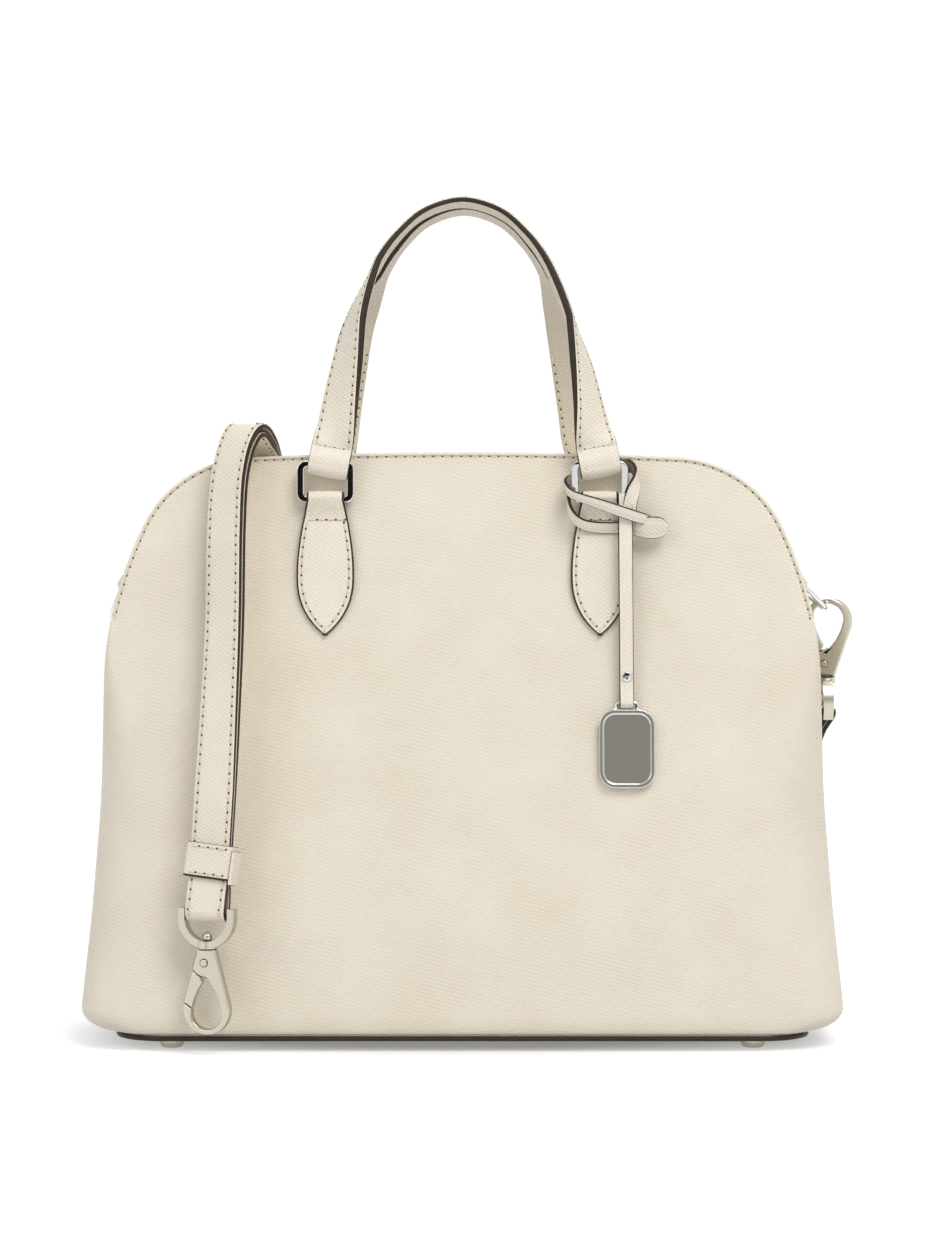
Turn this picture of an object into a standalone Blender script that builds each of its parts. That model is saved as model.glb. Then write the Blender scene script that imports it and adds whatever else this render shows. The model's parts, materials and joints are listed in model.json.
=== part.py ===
"""Dome-top leather satchel with two handles, a clip-on shoulder strap and a hanging tag.

Metres, +Z up. The origin is in the middle of the base panel's underside.
The front faces -Y. Metal feet reach below the origin.
"""
import math

import bmesh
import bpy
from mathutils import Matrix, Vector

# Clearance between pieces that touch
GAP = 0.0003

# Body outline, seen from the front: a flat top arc, two shoulders and straight leaning sides
BODY_HEIGHT = 0.2845
TOP_RADIUS = 2.300
TOP_SWEEP = math.radians(2.65)
SHOULDER_RADIUS = 0.0585
SHOULDER_SWEEP = math.radians(62.65)
SIDE_RADIUS = 0.2073
SIDE_SWEEP = math.radians(21.0)

# Body depth and horizontal section
BASE_HALF_DEPTH = 0.0650
TOP_HALF_DEPTH = 0.0275
CORNER_RADIUS = 0.0350
FOOT_CORNER_RADIUS = 0.0240
FOOT_CORNER_HEIGHT = 0.0700
EDGE_RADIUS = 0.0010
CORNER_FADE_START = 0.100
SEAM_HEIGHT = 0.2020
BOTTOM_ROUND_HEIGHT = 0.0110
BOTTOM_ROUND_SIDE = 0.0185
BOTTOM_ROUND_FRONT = 0.0035

# Walls
PANEL_THICKNESS = 0.0020
GUSSET_THICKNESS = 0.0018
GUSSET_LAP = 0.0060
LINING_THICKNESS = 0.0010
BASE_THICKNESS = 0.0030
BASE_EDGE = 0.0010
BOARD_THICKNESS = 0.0025

# Feet
FOOT_X = 0.1410
FOOT_Y = 0.0450
FOOT_RADIUS = 0.0059
FOOT_HEIGHT = 0.0050
FOOT_PIN_RADIUS = 0.0015

# Zip
ZIP_SLOT = 0.0100
TAPE_WIDTH = 0.0100
TAPE_THICKNESS = 0.0006
CHAIN_WIDTH = 0.0052
CHAIN_THICKNESS = 0.0020
TOOTH_DEPTH = 0.0006
TOOTH_PITCH = 0.0040
SLIDER_ANGLE = math.radians(55.0)
SLIDER_LENGTH = 0.0100
SLIDER_WIDTH = 0.0084
SLIDER_THICKNESS = 0.0014
CROWN_RADIUS = 0.0006
CROWN_REACH = 0.0032
CROWN_HEIGHT = 0.0029
PULLER_LENGTH = 0.0230
PULLER_WIDTH = 0.0070
PULLER_THICKNESS = 0.0012

# Handle rings and their leaf-shaped tabs
RING_X = 0.0670
RING_WINDOW = 0.0208
RING_HEIGHT = 0.0205
RING_SIDE_BAR = 0.0037
RING_BAR_RADIUS = 0.0015
RING_DEPTH = 0.0030
RING_AXIS_Z = 0.2608
TAB_THICKNESS = 0.0018
TAB_FOLD_HALF_WIDTH = 0.0082
TAB_HALF_WIDTH = 0.0141
TAB_TIP_Z = 0.1945
TAB_BACK_END_Z = 0.2440

# Handles
HANDLE_WIDTH = 0.0200
HANDLE_THICKNESS = 0.0040
HANDLE_LOOP_THICKNESS = 0.0018
HANDLE_LOOP_DROP = 0.0025
HANDLE_LOOP_TOP_Z = 0.2880
HANDLE_APEX_Z = 0.4100
HANDLE_APEX_Y = 0.0120
# Right-hand half of the handle's centre line: x, z, and the turn of its face from front to top
HANDLE_LINE = (
    (0.0655, 0.2920, 4.0),
    (0.0602, 0.3100, 22.0),
    (0.0537, 0.3390, 38.0),
    (0.0495, 0.3537, 48.0),
    (0.0435, 0.3680, 63.0),
    (0.0330, 0.3880, 82.0),
    (0.0180, 0.4035, 90.0),
)

# Side rings for the shoulder strap
D_AXIS_Z = 0.2195
D_WIRE_RADIUS = 0.00125
D_DEPTH = 0.0185
D_HALF_WIDTH = 0.0100
D_CORNER = 0.0025
D_ANGLE_LEFT = math.radians(24.0)
D_ANGLE_RIGHT = math.radians(48.0)
D_TAB_WIDTH = 0.0160
D_TAB_THICKNESS = 0.0020
D_TAB_LENGTH = 0.0120

# Shoulder strap
STRAP_WIDTH = 0.0200
STRAP_THICKNESS = 0.0025
STRAP_STEP = 0.0060
# Middle of the doubled stretch, from the front hook over the top to the adjuster, with the way its face looks
STRAP_DOUBLE = (
    ((-0.1203, -0.0743, 0.0720), (-0.29, -0.957, 0.0)),
    ((-0.1190, -0.0716, 0.0960), (-0.29, -0.957, 0.0)),
    ((-0.1177, -0.0689, 0.1200), (-0.29, -0.957, 0.0)),
    ((-0.1160, -0.0635, 0.1560), (-0.42, -0.908, 0.0)),
    ((-0.1146, -0.0550, 0.2000), (-0.50, -0.87, 0.0)),
    ((-0.1143, -0.0485, 0.2450), (-0.52, -0.85, 0.0)),
    ((-0.1130, -0.0455, 0.2700), (-0.55, -0.80, 0.25)),
    ((-0.1098, -0.0415, 0.2860), (-0.45, -0.62, 0.64)),
    ((-0.1050, -0.0345, 0.2940), (0.0, 0.0, 1.0)),
    ((-0.1000, -0.0245, 0.2905), (0.15, 0.25, 0.95)),
    ((-0.0962, -0.0130, 0.2860), (0.05, 0.25, 0.97)),
    ((-0.0948, 0.0030, 0.2848), (0.0, 0.0, 1.0)),
    ((-0.0948, 0.0180, 0.2858), (0.0, 0.0, 1.0)),
    ((-0.0955, 0.0300, 0.2868), (0.05, 0.35, 0.94)),
    ((-0.0960, 0.0400, 0.2800), (0.15, 0.90, 0.40)),
    ((-0.0955, 0.0455, 0.2620), (0.17, 0.97, 0.15)),
    ((-0.0940, 0.0495, 0.2350), (0.20, 0.97, 0.10)),
    ((-0.0920, 0.0540, 0.2000), (0.35, 0.93, 0.10)),
)
# Middle of the single stretch, from the adjuster down behind the bag and up to the side hook
STRAP_SINGLE = (
    ((-0.0880, 0.0600, 0.1500), (0.80, 0.60, 0.10)),
    ((-0.0780, 0.0655, 0.1000), (1.00, 0.20, 0.25)),
    ((-0.0580, 0.0700, 0.0580), (0.80, 0.0, 0.60)),
    ((-0.0250, 0.0740, 0.0320), (0.40, 0.0, 0.92)),
    ((0.0200, 0.0755, 0.0240), (0.0, 0.0, 1.0)),
    ((0.0600, 0.0745, 0.0320), (-0.25, 0.0, 0.97)),
    ((0.1000, 0.0730, 0.0480), (-0.30, -0.20, 0.93)),
    ((0.1280, 0.0700, 0.0660), (-0.35, -0.50, 0.78)),
    ((0.1520, 0.0650, 0.0860), (-0.40, -0.75, 0.50)),
    ((0.1710, 0.0540, 0.1060), (-0.62, -0.72, 0.25)),
    ((0.1798, 0.0370, 0.1245), (-0.86, -0.48, 0.12)),
    ((0.1816, 0.0199, 0.1410), (-0.98, -0.10, 0.15)),
)
STRAP_END_LENGTH = 0.0220
KEEPER_START = 0.0076
KEEPER_LENGTH = 0.0160
KEEPER_THICKNESS = 0.0014
KEEPER_CLEARANCE = 0.0006
ADJUSTER_BACK = 0.0060
ADJUSTER_LENGTH = 0.0160
ADJUSTER_BAR_RADIUS = 0.0011

# Snap hooks, in a frame whose origin is the middle of the strap bar, hook pointing down
HOOK_BAR_RADIUS = 0.0015
HOOK_YOKE_HALF_WIDTH = 0.0125
HOOK_YOKE_DROP = 0.0030
HOOK_YOKE_WIDTH = 0.0050
HOOK_YOKE_THICKNESS = 0.0034
HOOK_BOSS_RADIUS = 0.0045
HOOK_BOSS_HEIGHT = 0.0036
HOOK_STEM_RADIUS = 0.0014
HOOK_HEAD_RADIUS = 0.0025
HOOK_NECK_HALF_WIDTH = 0.0045
HOOK_BOW_RADIUS = 0.0119
HOOK_LENGTH = 0.0580
HOOK_EYE_RADIUS = 0.0077
HOOK_EYE_SIDE_RADIUS = 0.0300
HOOK_EYE_TOP = 0.0308
HOOK_EYE_WALL = 0.0025
HOOK_THICKNESS = 0.0044
HOOK_PIVOT_X = -0.0010
HOOK_PIVOT_Z = -0.0240
HOOK_SPLIT_RADIUS = 0.0066
HOOK_SLOT = 0.0020
HOOK_TONGUE_THICKNESS = 0.0014
HOOK_RIVET_RADIUS = 0.0010
HOOK_RIVET_HEAD_RADIUS = 0.0019
HOOK_RIVET_HEAD_HEIGHT = 0.0005
HOOK_TONGUE_HALF_WIDTH = 0.0016
GATE_END_Z = -0.0430
GATE_END_SLOPE = 0.70
GATE_RANGE = math.radians(16.0)
FRONT_HOOK_AT = (-0.1208, -0.0757, 0.0638)
FRONT_HOOK_YAW = math.radians(-17.0)
SIDE_HOOK_AT = (0.1844, 0.0155, 0.1573)
SIDE_HOOK_TILT = math.radians(16.0)
SIDE_HOOK_SWIVEL = math.radians(-74.0)

# Lanyard and tag on the front right ring
LANYARD_WIDTH = 0.0070
LANYARD_THICKNESS = 0.0016
WRAP_HEIGHT = 0.0074
WRAP_FOOT_Z = 0.2634
LANYARD_TOP_Z = 0.2620
LANYARD_BOTTOM = (0.0796, -0.0472, 0.1620)
LANYARD_RIVET_UP = 0.0125
LANYARD_RIVET_RADIUS = 0.0026
LANYARD_PIN_RADIUS = 0.0012
# Middle line of the loose leather loop round the lanyard: over its front, then back behind it
LOOP_LINE = (
    (0.0505, -0.0418, 0.2655), (0.0570, -0.0436, 0.2655), (0.0680, -0.0450, 0.2620), (0.0790, -0.0454, 0.2575),
    (0.0900, -0.0444, 0.2520), (0.0970, -0.0424, 0.2485), (0.0996, -0.0405, 0.2472), (0.0965, -0.0390, 0.2468),
    (0.0880, -0.0382, 0.2468), (0.0740, -0.0380, 0.2470), (0.0620, -0.0392, 0.2495), (0.0540, -0.0412, 0.2565),
)
TAG_WIDTH = 0.0270
TAG_HEIGHT = 0.0380
TAG_THICKNESS = 0.0030
TAG_CORNER = 0.0080
TAG_RIM = 0.0020
TAG_RECESS = 0.0006
TAG_LEAN = math.radians(6.0)
BAIL_RADIUS = 0.0009
BAIL_HALF_WIDTH = 0.0050
BAIL_HEIGHT = 0.0035

# Colours as linear values: leather, lining, painted edge, board, satin nickel, bright chrome, zip tape
CREAM = (0.78, 0.72, 0.59)
SUEDE = (0.25, 0.17, 0.11)
STIFFENER = (0.12, 0.11, 0.10)
NICKEL = (0.57, 0.54, 0.50)
CHROME = (0.62, 0.62, 0.63)
TAPE = (0.62, 0.56, 0.45)


def clear_scene():
    """Remove every object that the file opens with."""
    for obj in list(bpy.data.objects):
        bpy.data.objects.remove(obj, do_unlink=True)


def material(name, colour, roughness, metallic=0.0):
    """A Principled material in one colour."""
    mat = bpy.data.materials.new(name)
    mat.use_nodes = True
    shader = mat.node_tree.nodes["Principled BSDF"]
    shader.inputs["Base Color"].default_value = (*colour, 1.0)
    shader.inputs["Roughness"].default_value = roughness
    shader.inputs["Metallic"].default_value = metallic
    return mat


clear_scene()
PARTS = bpy.data.collections.new("satchel")
CUTTERS = bpy.data.collections.new("cutters")
bpy.context.scene.collection.children.link(PARTS)
bpy.context.scene.collection.children.link(CUTTERS)
LEATHER = material("cream_leather", CREAM, 0.55)
LINING = material("suede_lining", SUEDE, 0.90)
BOARD = material("stiffener_board", STIFFENER, 0.80)
SATIN = material("satin_nickel", NICKEL, 0.32, 1.0)
BRIGHT = material("bright_chrome", CHROME, 0.10, 1.0)
ZIP_TAPE = material("zip_tape", TAPE, 0.85)


# Mesh helpers


def new_object(name, mesh, mat, collection=PARTS):
    """Link a mesh as an object with one material."""
    obj = bpy.data.objects.new(name, mesh)
    collection.objects.link(obj)
    obj.data.materials.clear()
    obj.data.materials.append(mat)
    return obj


def finish_mesh(bm, name, mat, collection=PARTS):
    """Turn a bmesh into an object with its faces pointing out."""
    bmesh.ops.recalc_face_normals(bm, faces=bm.faces)
    mesh = bpy.data.meshes.new(name)
    bm.to_mesh(mesh)
    bm.free()
    mesh.shade_smooth()
    mesh.set_sharp_from_angle(angle=math.radians(35.0))
    return new_object(name, mesh, mat, collection)


def grid_solid(name, outer, inner, mat, present=None, wrap=False, cap=False):
    """A wall between two matching grids of points, closed along every free edge."""
    bm = bmesh.new()
    made = {}

    def vert(layer, i, j):
        key = (id(layer), i, j)
        if key not in made:
            made[key] = bm.verts.new(layer[i][j])
        return made[key]

    columns = len(outer[0])
    spans = columns if wrap else columns - 1
    uses = {}
    for i in range(len(outer) - 1):
        for j in range(spans):
            if present and not present(i, j):
                continue
            k = (j + 1) % columns
            ring = ((i, j), (i, k), (i + 1, k), (i + 1, j))
            bm.faces.new([vert(outer, *key) for key in ring])
            bm.faces.new([vert(inner, *key) for key in reversed(ring)])
            for a, b in zip(ring, ring[1:] + ring[:1]):
                uses.setdefault(frozenset((a, b)), []).append((a, b))
    capped = {(0, j) for j in range(columns)} if cap else set()
    for edge in uses.values():
        if len(edge) > 1 or capped.issuperset(edge[0]):
            continue
        a, b = edge[0]
        bm.faces.new([vert(outer, *b), vert(outer, *a), vert(inner, *a), vert(inner, *b)])
    if cap:
        bm.faces.new([vert(outer, 0, j) for j in range(columns)])
        bm.faces.new([vert(inner, 0, j) for j in range(columns)])
    return finish_mesh(bm, name, mat)


def band(name, stations, mat, closed=False):
    """A flat strap: each station is a point, the way the face looks, a width and a thickness."""
    points = [Vector(station[0]) for station in stations]
    bm = bmesh.new()
    rings = []
    last = len(points) - 1
    for i, (_, looks, width, thickness) in enumerate(stations):
        before = points[i - 1] if i or closed else points[0]
        after = points[i + 1] if i < last else points[0] if closed else points[last]
        along = (after - before).normalized()
        across = along.cross(Vector(looks)).normalized()
        face = across.cross(along)
        side = across * (width / 2)
        up = face * (thickness / 2)
        corners = (side + up, -side + up, -side - up, side - up)
        rings.append([bm.verts.new(points[i] + corner) for corner in corners])
    for one, two in zip(rings, rings[1:] + rings[:1] if closed else rings[1:]):
        for j in range(4):
            k = (j + 1) % 4
            bm.faces.new((one[j], one[k], two[k], two[j]))
    if not closed:
        bm.faces.new(rings[0])
        bm.faces.new(rings[-1])
    return finish_mesh(bm, name, mat)


def smooth_line(points, step):
    """Points a step apart on a smooth curve through the given points."""
    knots = [Vector(point) for point in points]
    dense = []
    for i in range(len(knots) - 1):
        p0 = knots[i - 1] if i else knots[i] * 2 - knots[i + 1]
        p1, p2 = knots[i], knots[i + 1]
        p3 = knots[i + 2] if i + 2 < len(knots) else knots[i + 1] * 2 - knots[i]
        count = max(int((p2 - p1).length / step + 0.5), 1)
        for n in range(count):
            t = n / count
            dense.append(
                0.5 * (2 * p1 + (p2 - p0) * t + (2 * p0 - 5 * p1 + 4 * p2 - p3) * t ** 2
                       + (3 * p1 - p0 - 3 * p2 + p3) * t ** 3))
    dense.append(knots[-1])
    return dense


def to_mesh(obj):
    """Replace a curve by a closed mesh of its evaluated shape."""
    bpy.context.view_layer.update()
    depsgraph = bpy.context.evaluated_depsgraph_get()
    mesh = bpy.data.meshes.new_from_object(obj.evaluated_get(depsgraph))
    mesh.transform(obj.matrix_world)
    bm = bmesh.new()
    bm.from_mesh(mesh)
    bmesh.ops.remove_doubles(bm, verts=bm.verts, dist=0.00001)
    bmesh.ops.recalc_face_normals(bm, faces=bm.faces)
    bm.to_mesh(mesh)
    bm.free()
    name = obj.name
    collection = obj.users_collection[0]
    mat = obj.data.materials[0]
    bpy.data.objects.remove(obj, do_unlink=True)
    return new_object(name, mesh, mat, collection)


def tube(name, points, radius, mat, cyclic=False, sides=2, collection=PARTS):
    """A round wire through the points."""
    curve = bpy.data.curves.new(name, "CURVE")
    curve.dimensions = "3D"
    curve.bevel_depth = radius
    curve.bevel_resolution = sides
    curve.use_fill_caps = not cyclic
    curve.materials.append(mat)
    spline = curve.splines.new("POLY")
    spline.points.add(len(points) - 1)
    for slot, point in zip(spline.points, points):
        slot.co = (*point, 1.0)
    spline.use_cyclic_u = cyclic
    obj = bpy.data.objects.new(name, curve)
    collection.objects.link(obj)
    return to_mesh(obj)


def plate(name, outlines, thickness, mat, place, collection=PARTS):
    """A flat plate from closed outlines; an outline inside another is a hole."""
    curve = bpy.data.curves.new(name, "CURVE")
    curve.dimensions = "2D"
    curve.fill_mode = "BOTH"
    curve.extrude = thickness / 2
    curve.materials.append(mat)
    for outline in outlines:
        spline = curve.splines.new("POLY")
        spline.points.add(len(outline) - 1)
        for slot, (u, v) in zip(spline.points, outline):
            slot.co = (u, v, 0.0, 1.0)
        spline.use_cyclic_u = True
    obj = bpy.data.objects.new(name, curve)
    collection.objects.link(obj)
    obj.matrix_world = place
    return to_mesh(obj)


def turned(name, profile, mat, place, steps=20, collection=PARTS):
    """A turned piece from its half profile, listed from the top end down the outside."""
    bm = bmesh.new()
    verts = [bm.verts.new((radius, 0.0, height)) for radius, height in profile]
    for one, two in zip(verts, verts[1:]):
        bm.edges.new((one, two))
    mesh = bpy.data.meshes.new(name)
    bm.to_mesh(mesh)
    bm.free()
    obj = new_object(name, mesh, mat, collection)
    screw = obj.modifiers.new("turn", "SCREW")
    screw.steps = steps
    screw.render_steps = steps
    screw.use_merge_vertices = True
    screw.merge_threshold = 0.00001
    obj.matrix_world = place
    return to_mesh(obj)


def boolean(obj, other, operation):
    """Cut a piece by a tool, or join a piece of its own material to it, and drop the tool."""
    modifier = obj.modifiers.new(operation.lower(), "BOOLEAN")
    modifier.operation = operation
    modifier.solver = "EXACT"
    modifier.object = other
    bpy.context.view_layer.update()
    depsgraph = bpy.context.evaluated_depsgraph_get()
    mesh = bpy.data.meshes.new_from_object(obj.evaluated_get(depsgraph))
    obj.modifiers.clear()
    obj.data = mesh
    bpy.data.objects.remove(other, do_unlink=True)
    return obj


def rounded_rectangle(half_u, half_v, radius, steps=4, centre=(0.0, 0.0)):
    """Outline of a rectangle with round corners."""
    points = []
    for corner, (su, sv) in enumerate(((1, 1), (-1, 1), (-1, -1), (1, -1))):
        for n in range(steps + 1):
            angle = math.radians(90.0 * (corner + n / steps))
            u = su * (half_u - radius) + radius * math.cos(angle)
            v = sv * (half_v - radius) + radius * math.sin(angle)
            points.append((centre[0] + u, centre[1] + v))
    return points


def facing(origin, u_axis, v_axis):
    """A frame whose first two axes are given; a plate's outline lies in them."""
    u = Vector(u_axis).normalized()
    w = u.cross(Vector(v_axis)).normalized()
    v = w.cross(u)
    frame = Matrix((u, v, w)).transposed().to_4x4()
    frame.translation = Vector(origin)
    return frame


# Body outline and sections

ARCS = ((TOP_RADIUS, TOP_SWEEP), (SHOULDER_RADIUS, SHOULDER_SWEEP), (SIDE_RADIUS, SIDE_SWEEP))
TOP_END = TOP_RADIUS * TOP_SWEEP
SHOULDER_END = TOP_END + SHOULDER_RADIUS * SHOULDER_SWEEP
DEPTH_TAPER = (BASE_HALF_DEPTH - TOP_HALF_DEPTH) / BODY_HEIGHT
WALL_FOOT = BASE_THICKNESS + GAP


def outline(length, inset=0.0):
    """Point of the outline at a length from the top middle, and the lean of its normal."""
    side = -1.0 if length < 0.0 else 1.0
    left = abs(length)
    x, z, lean = 0.0, BODY_HEIGHT, 0.0
    for radius, sweep in ARCS:
        step = min(left / radius, sweep)
        x += radius * (math.sin(lean + step) - math.sin(lean))
        z += radius * (math.cos(lean + step) - math.cos(lean))
        lean += step
        left = max(left - step * radius, 0.0)
    x += left * math.cos(lean) - inset * math.sin(lean)
    z -= left * math.sin(lean) + inset * math.cos(lean)
    return side * x, z, side * lean


def length_at(height):
    """Length along the outline at which its side reaches a height."""
    low, high = TOP_END, 2.0 * BODY_HEIGHT + TOP_END
    for _ in range(50):
        middle = (low + high) / 2
        if outline(middle)[1] > height:
            low = middle
        else:
            high = middle
    return low


def half_depth(z):
    """Distance of the front and back faces from the middle plane."""
    return BASE_HALF_DEPTH - DEPTH_TAPER * z


def bottom_round(z):
    """Share of the rounding of the bottom edge, from 0 above it to 1 at the base panel."""
    t = (WALL_FOOT + BOTTOM_ROUND_HEIGHT - z) / BOTTOM_ROUND_HEIGHT
    t = min(max(t, 0.0), 1.0)
    return 1.0 - math.sqrt(1.0 - t * t)


def ease(value, low, high):
    """Smooth step from 0 at low to 1 at high."""
    t = min(max((value - low) / (high - low), 0.0), 1.0)
    return t * t * (3.0 - 2.0 * t)


def corner_radius(z):
    """Radius of the upright corners: tight at the darts of the foot, full above, an edge at the gusset's seam."""
    full = FOOT_CORNER_RADIUS + (CORNER_RADIUS - FOOT_CORNER_RADIUS) * ease(z, 0.0, FOOT_CORNER_HEIGHT)
    return full + (EDGE_RADIUS - full) * ease(z, CORNER_FADE_START, SEAM_HEIGHT)


def wall_half_width(z, inset=0.0):
    """Half width of the body at a height below the gusset's seam."""
    return outline(length_at(z))[0] - inset - BOTTOM_ROUND_SIDE * bottom_round(z)


CORNER_STEPS = 4
FACE_STEPS = 6


def low_row(z, inset_side, inset_face):
    """Front half of the section below the seam, from the left seam round to the right one."""
    a = wall_half_width(z, inset_side)
    b = half_depth(z) - inset_face - BOTTOM_ROUND_FRONT * bottom_round(z)
    r = max(corner_radius(z) - max(inset_side, inset_face), EDGE_RADIUS / 4)
    left = [(-a, -GAP / 2)]
    for n in range(CORNER_STEPS + 1):
        angle = math.radians(90.0 * n / CORNER_STEPS)
        left.append((-a + r - r * math.cos(angle), -b + r - r * math.sin(angle)))
    face = []
    for n in range(1, FACE_STEPS):
        face.append(((a - r) * (2.0 * n / FACE_STEPS - 1.0), -b))
    right = [(-x, y) for x, y in reversed(left)]
    return [Vector((x, y, z)) for x, y in left + face + right]


def high_row(length, inset_side, inset_face):
    """Front face above the seam, arched towards the top; its side columns are unused."""
    x_end, z_end, _ = outline(length, inset_side)
    rise = BODY_HEIGHT - outline(TOP_END)[1]
    share = (z_end - SEAM_HEIGHT) / (outline(TOP_END)[1] - SEAM_HEIGHT)
    row = []
    for n in range(FACE_STEPS + 1):
        u = 2.0 * n / FACE_STEPS - 1.0
        z = z_end + rise * share * (1.0 - u * u)
        row.append(Vector((u * x_end, -(half_depth(z) - inset_face), z)))
    side = [row[0]] * (CORNER_STEPS + 1)
    return side + row + [row[-1]] * (CORNER_STEPS + 1)


def body_rows(foot, rounding, inset_side, inset_face):
    """Rows of the front half from its foot to the top seam, and how many lie below the seam."""
    low = [foot]
    for degrees in rounding:
        low.append(WALL_FOOT + BOTTOM_ROUND_HEIGHT * (1.0 - math.sin(math.radians(degrees))))
    steps = 6
    lap = SEAM_HEIGHT - GUSSET_LAP * 1.2
    for n in range(1, steps + 1):
        low.append(low[-1] + (lap - low[-1]) / (steps - n + 1))
    low.append(SEAM_HEIGHT)
    rows = [low_row(z, inset_side, inset_face) for z in low]
    start = length_at(SEAM_HEIGHT)
    steps = 10
    for n in range(1, steps + 1):
        rows.append(high_row(start + (TOP_END - start) * n / steps, inset_side, inset_face))
    return rows, len(low)


def above_seam_only_face(low_count, columns):
    """Which cells of a body grid exist: the sides end at the gusset's seam."""
    side = CORNER_STEPS + 1

    def present(i, j):
        column = j % columns
        return i < low_count - 1 or side <= column < side + FACE_STEPS
    return present


def mirrored(rows):
    """The same rows on the back of the bag."""
    return [[Vector((p.x, -p.y, p.z)) for p in row] for row in rows]


def make_panels():
    """Front and back leather panels, wrapped round the corners to the side seams."""
    rounding = (60.0, 40.0, 20.0, 0.0)
    outer, low_count = body_rows(WALL_FOOT, rounding, 0.0, 0.0)
    inner, _ = body_rows(WALL_FOOT, rounding, PANEL_THICKNESS, PANEL_THICKNESS)
    present = above_seam_only_face(low_count, len(outer[0]))
    grid_solid("front_panel", outer, inner, LEATHER, present)
    grid_solid("back_panel", mirrored(outer), mirrored(inner), LEATHER, present)


def make_lining():
    """Lining tub with its front and back rising behind the panels."""
    side = PANEL_THICKNESS + GUSSET_THICKNESS + 2 * GAP
    face = PANEL_THICKNESS + 2 * GAP
    foot = WALL_FOOT + BOARD_THICKNESS + GAP
    layers = []
    for extra, rise in ((0.0, 0.0), (LINING_THICKNESS, LINING_THICKNESS)):
        rows, low_count = body_rows(foot + rise, (20.0, 0.0), side + extra, face + extra)
        columns = len(rows[0])
        back = mirrored(rows)
        layers.append([row + list(reversed(other)) for row, other in zip(rows, back)])
    half = above_seam_only_face(low_count, columns)

    def present(i, j):
        if j in (columns - 1, 2 * columns - 1):
            return i < low_count - 1
        return half(i, j if j < columns else 2 * columns - 2 - j)
    grid_solid("lining", layers[0], layers[1], LINING, present, wrap=True, cap=True)


ZIP_END = SHOULDER_END
GUSSET_INSET = PANEL_THICKNESS + GAP
TAPE_INSET = GUSSET_INSET + GUSSET_THICKNESS + GAP
CHAIN_INSET = TAPE_INSET - 0.0012


def strip_rows(lengths, inset, y_values):
    """Rows across the gusset at lengths along the outline; y_values gives each row's y."""
    rows = []
    for length in lengths:
        x, z, _ = outline(length, inset)
        rows.append([Vector((x, y, z)) for y in y_values(outline(length)[1])])
    return rows


def make_gusset():
    """Leather band over the dome, lapped under the panels' tops, with a slot for the zip."""
    end = length_at(SEAM_HEIGHT - GUSSET_LAP)
    zip_steps = 24
    tail_steps = 4
    tail = [ZIP_END + (end - ZIP_END) * n / tail_steps for n in range(1, tail_steps + 1)]
    middle = [ZIP_END * (2.0 * n / zip_steps - 1.0) for n in range(zip_steps + 1)]
    middle += [-TOP_END, TOP_END]
    shoulder = (SHOULDER_END - TOP_END) / 6
    middle += [side * (TOP_END + shoulder * n) for side in (-1, 1) for n in range(1, 6)]
    lengths = sorted(set([-v for v in tail] + middle + tail))
    lengths = [v for i, v in enumerate(lengths) if i == 0 or v - lengths[i - 1] > 0.0005]

    def y_values(z):
        edge = half_depth(z) - PANEL_THICKNESS - GAP
        return (-edge, -ZIP_SLOT / 2, ZIP_SLOT / 2, edge)
    outer = strip_rows(lengths, GUSSET_INSET, y_values)
    inner = strip_rows(lengths, GUSSET_INSET + GUSSET_THICKNESS, y_values)

    def present(i, j):
        return j != 1 or lengths[i] < -ZIP_END - 1e-6 or lengths[i + 1] > ZIP_END + 1e-6
    grid_solid("zip_gusset", outer, inner, LEATHER, present)


def make_zip():
    """Two cloth tapes under the slot and the closed chain of teeth between them."""
    steps = 40
    reach = ZIP_END + TAPE_WIDTH / 2
    lengths = [reach * (2.0 * n / steps - 1.0) for n in range(steps + 1)]
    near = CHAIN_WIDTH / 2 + GAP
    for name, side in (("zip_tape_front", -1.0), ("zip_tape_back", 1.0)):
        def y_values(_, side=side):
            return (side * near, side * (near + TAPE_WIDTH))
        outer = strip_rows(lengths, TAPE_INSET, y_values)
        inner = strip_rows(lengths, TAPE_INSET + TAPE_THICKNESS, y_values)
        grid_solid(name, outer, inner, ZIP_TAPE)
    teeth = int(2 * ZIP_END / TOOTH_PITCH)
    crests = []
    roots = []
    bed = []
    for n in range(2 * teeth + 1):
        length = ZIP_END * (n / teeth - 1.0)
        depth = TOOTH_DEPTH if n % 2 else 0.0
        crests += strip_rows([length], CHAIN_INSET + depth, lambda _: (-CHAIN_WIDTH / 2, CHAIN_WIDTH / 2))
        roots += strip_rows([length], CHAIN_INSET + CHAIN_THICKNESS, lambda _: (-CHAIN_WIDTH / 2, CHAIN_WIDTH / 2))
    grid_solid("zip_chain", crests, roots, SATIN)


def slider_frame():
    """Frame on the outline at the slider: first axis towards the zip's closed end, third outwards."""
    length = TOP_END + SHOULDER_RADIUS * (SLIDER_ANGLE - TOP_SWEEP)
    x, z, lean = outline(length)
    frame = Matrix.Rotation(lean, 4, "Y")
    frame.translation = Vector((x, 0.0, z))
    return frame


def box(name, low, high, mat, place=None, collection=PARTS):
    """A box between two corners, in a frame."""
    bm = bmesh.new()
    size = Vector(high) - Vector(low)
    middle = (Vector(high) + Vector(low)) / 2
    bmesh.ops.create_cube(bm, size=1.0)
    bmesh.ops.scale(bm, vec=size, verts=bm.verts)
    bmesh.ops.translate(bm, vec=middle, verts=bm.verts)
    if place is not None:
        bmesh.ops.transform(bm, matrix=place, verts=bm.verts)
    return finish_mesh(bm, name, mat, collection)


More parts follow.
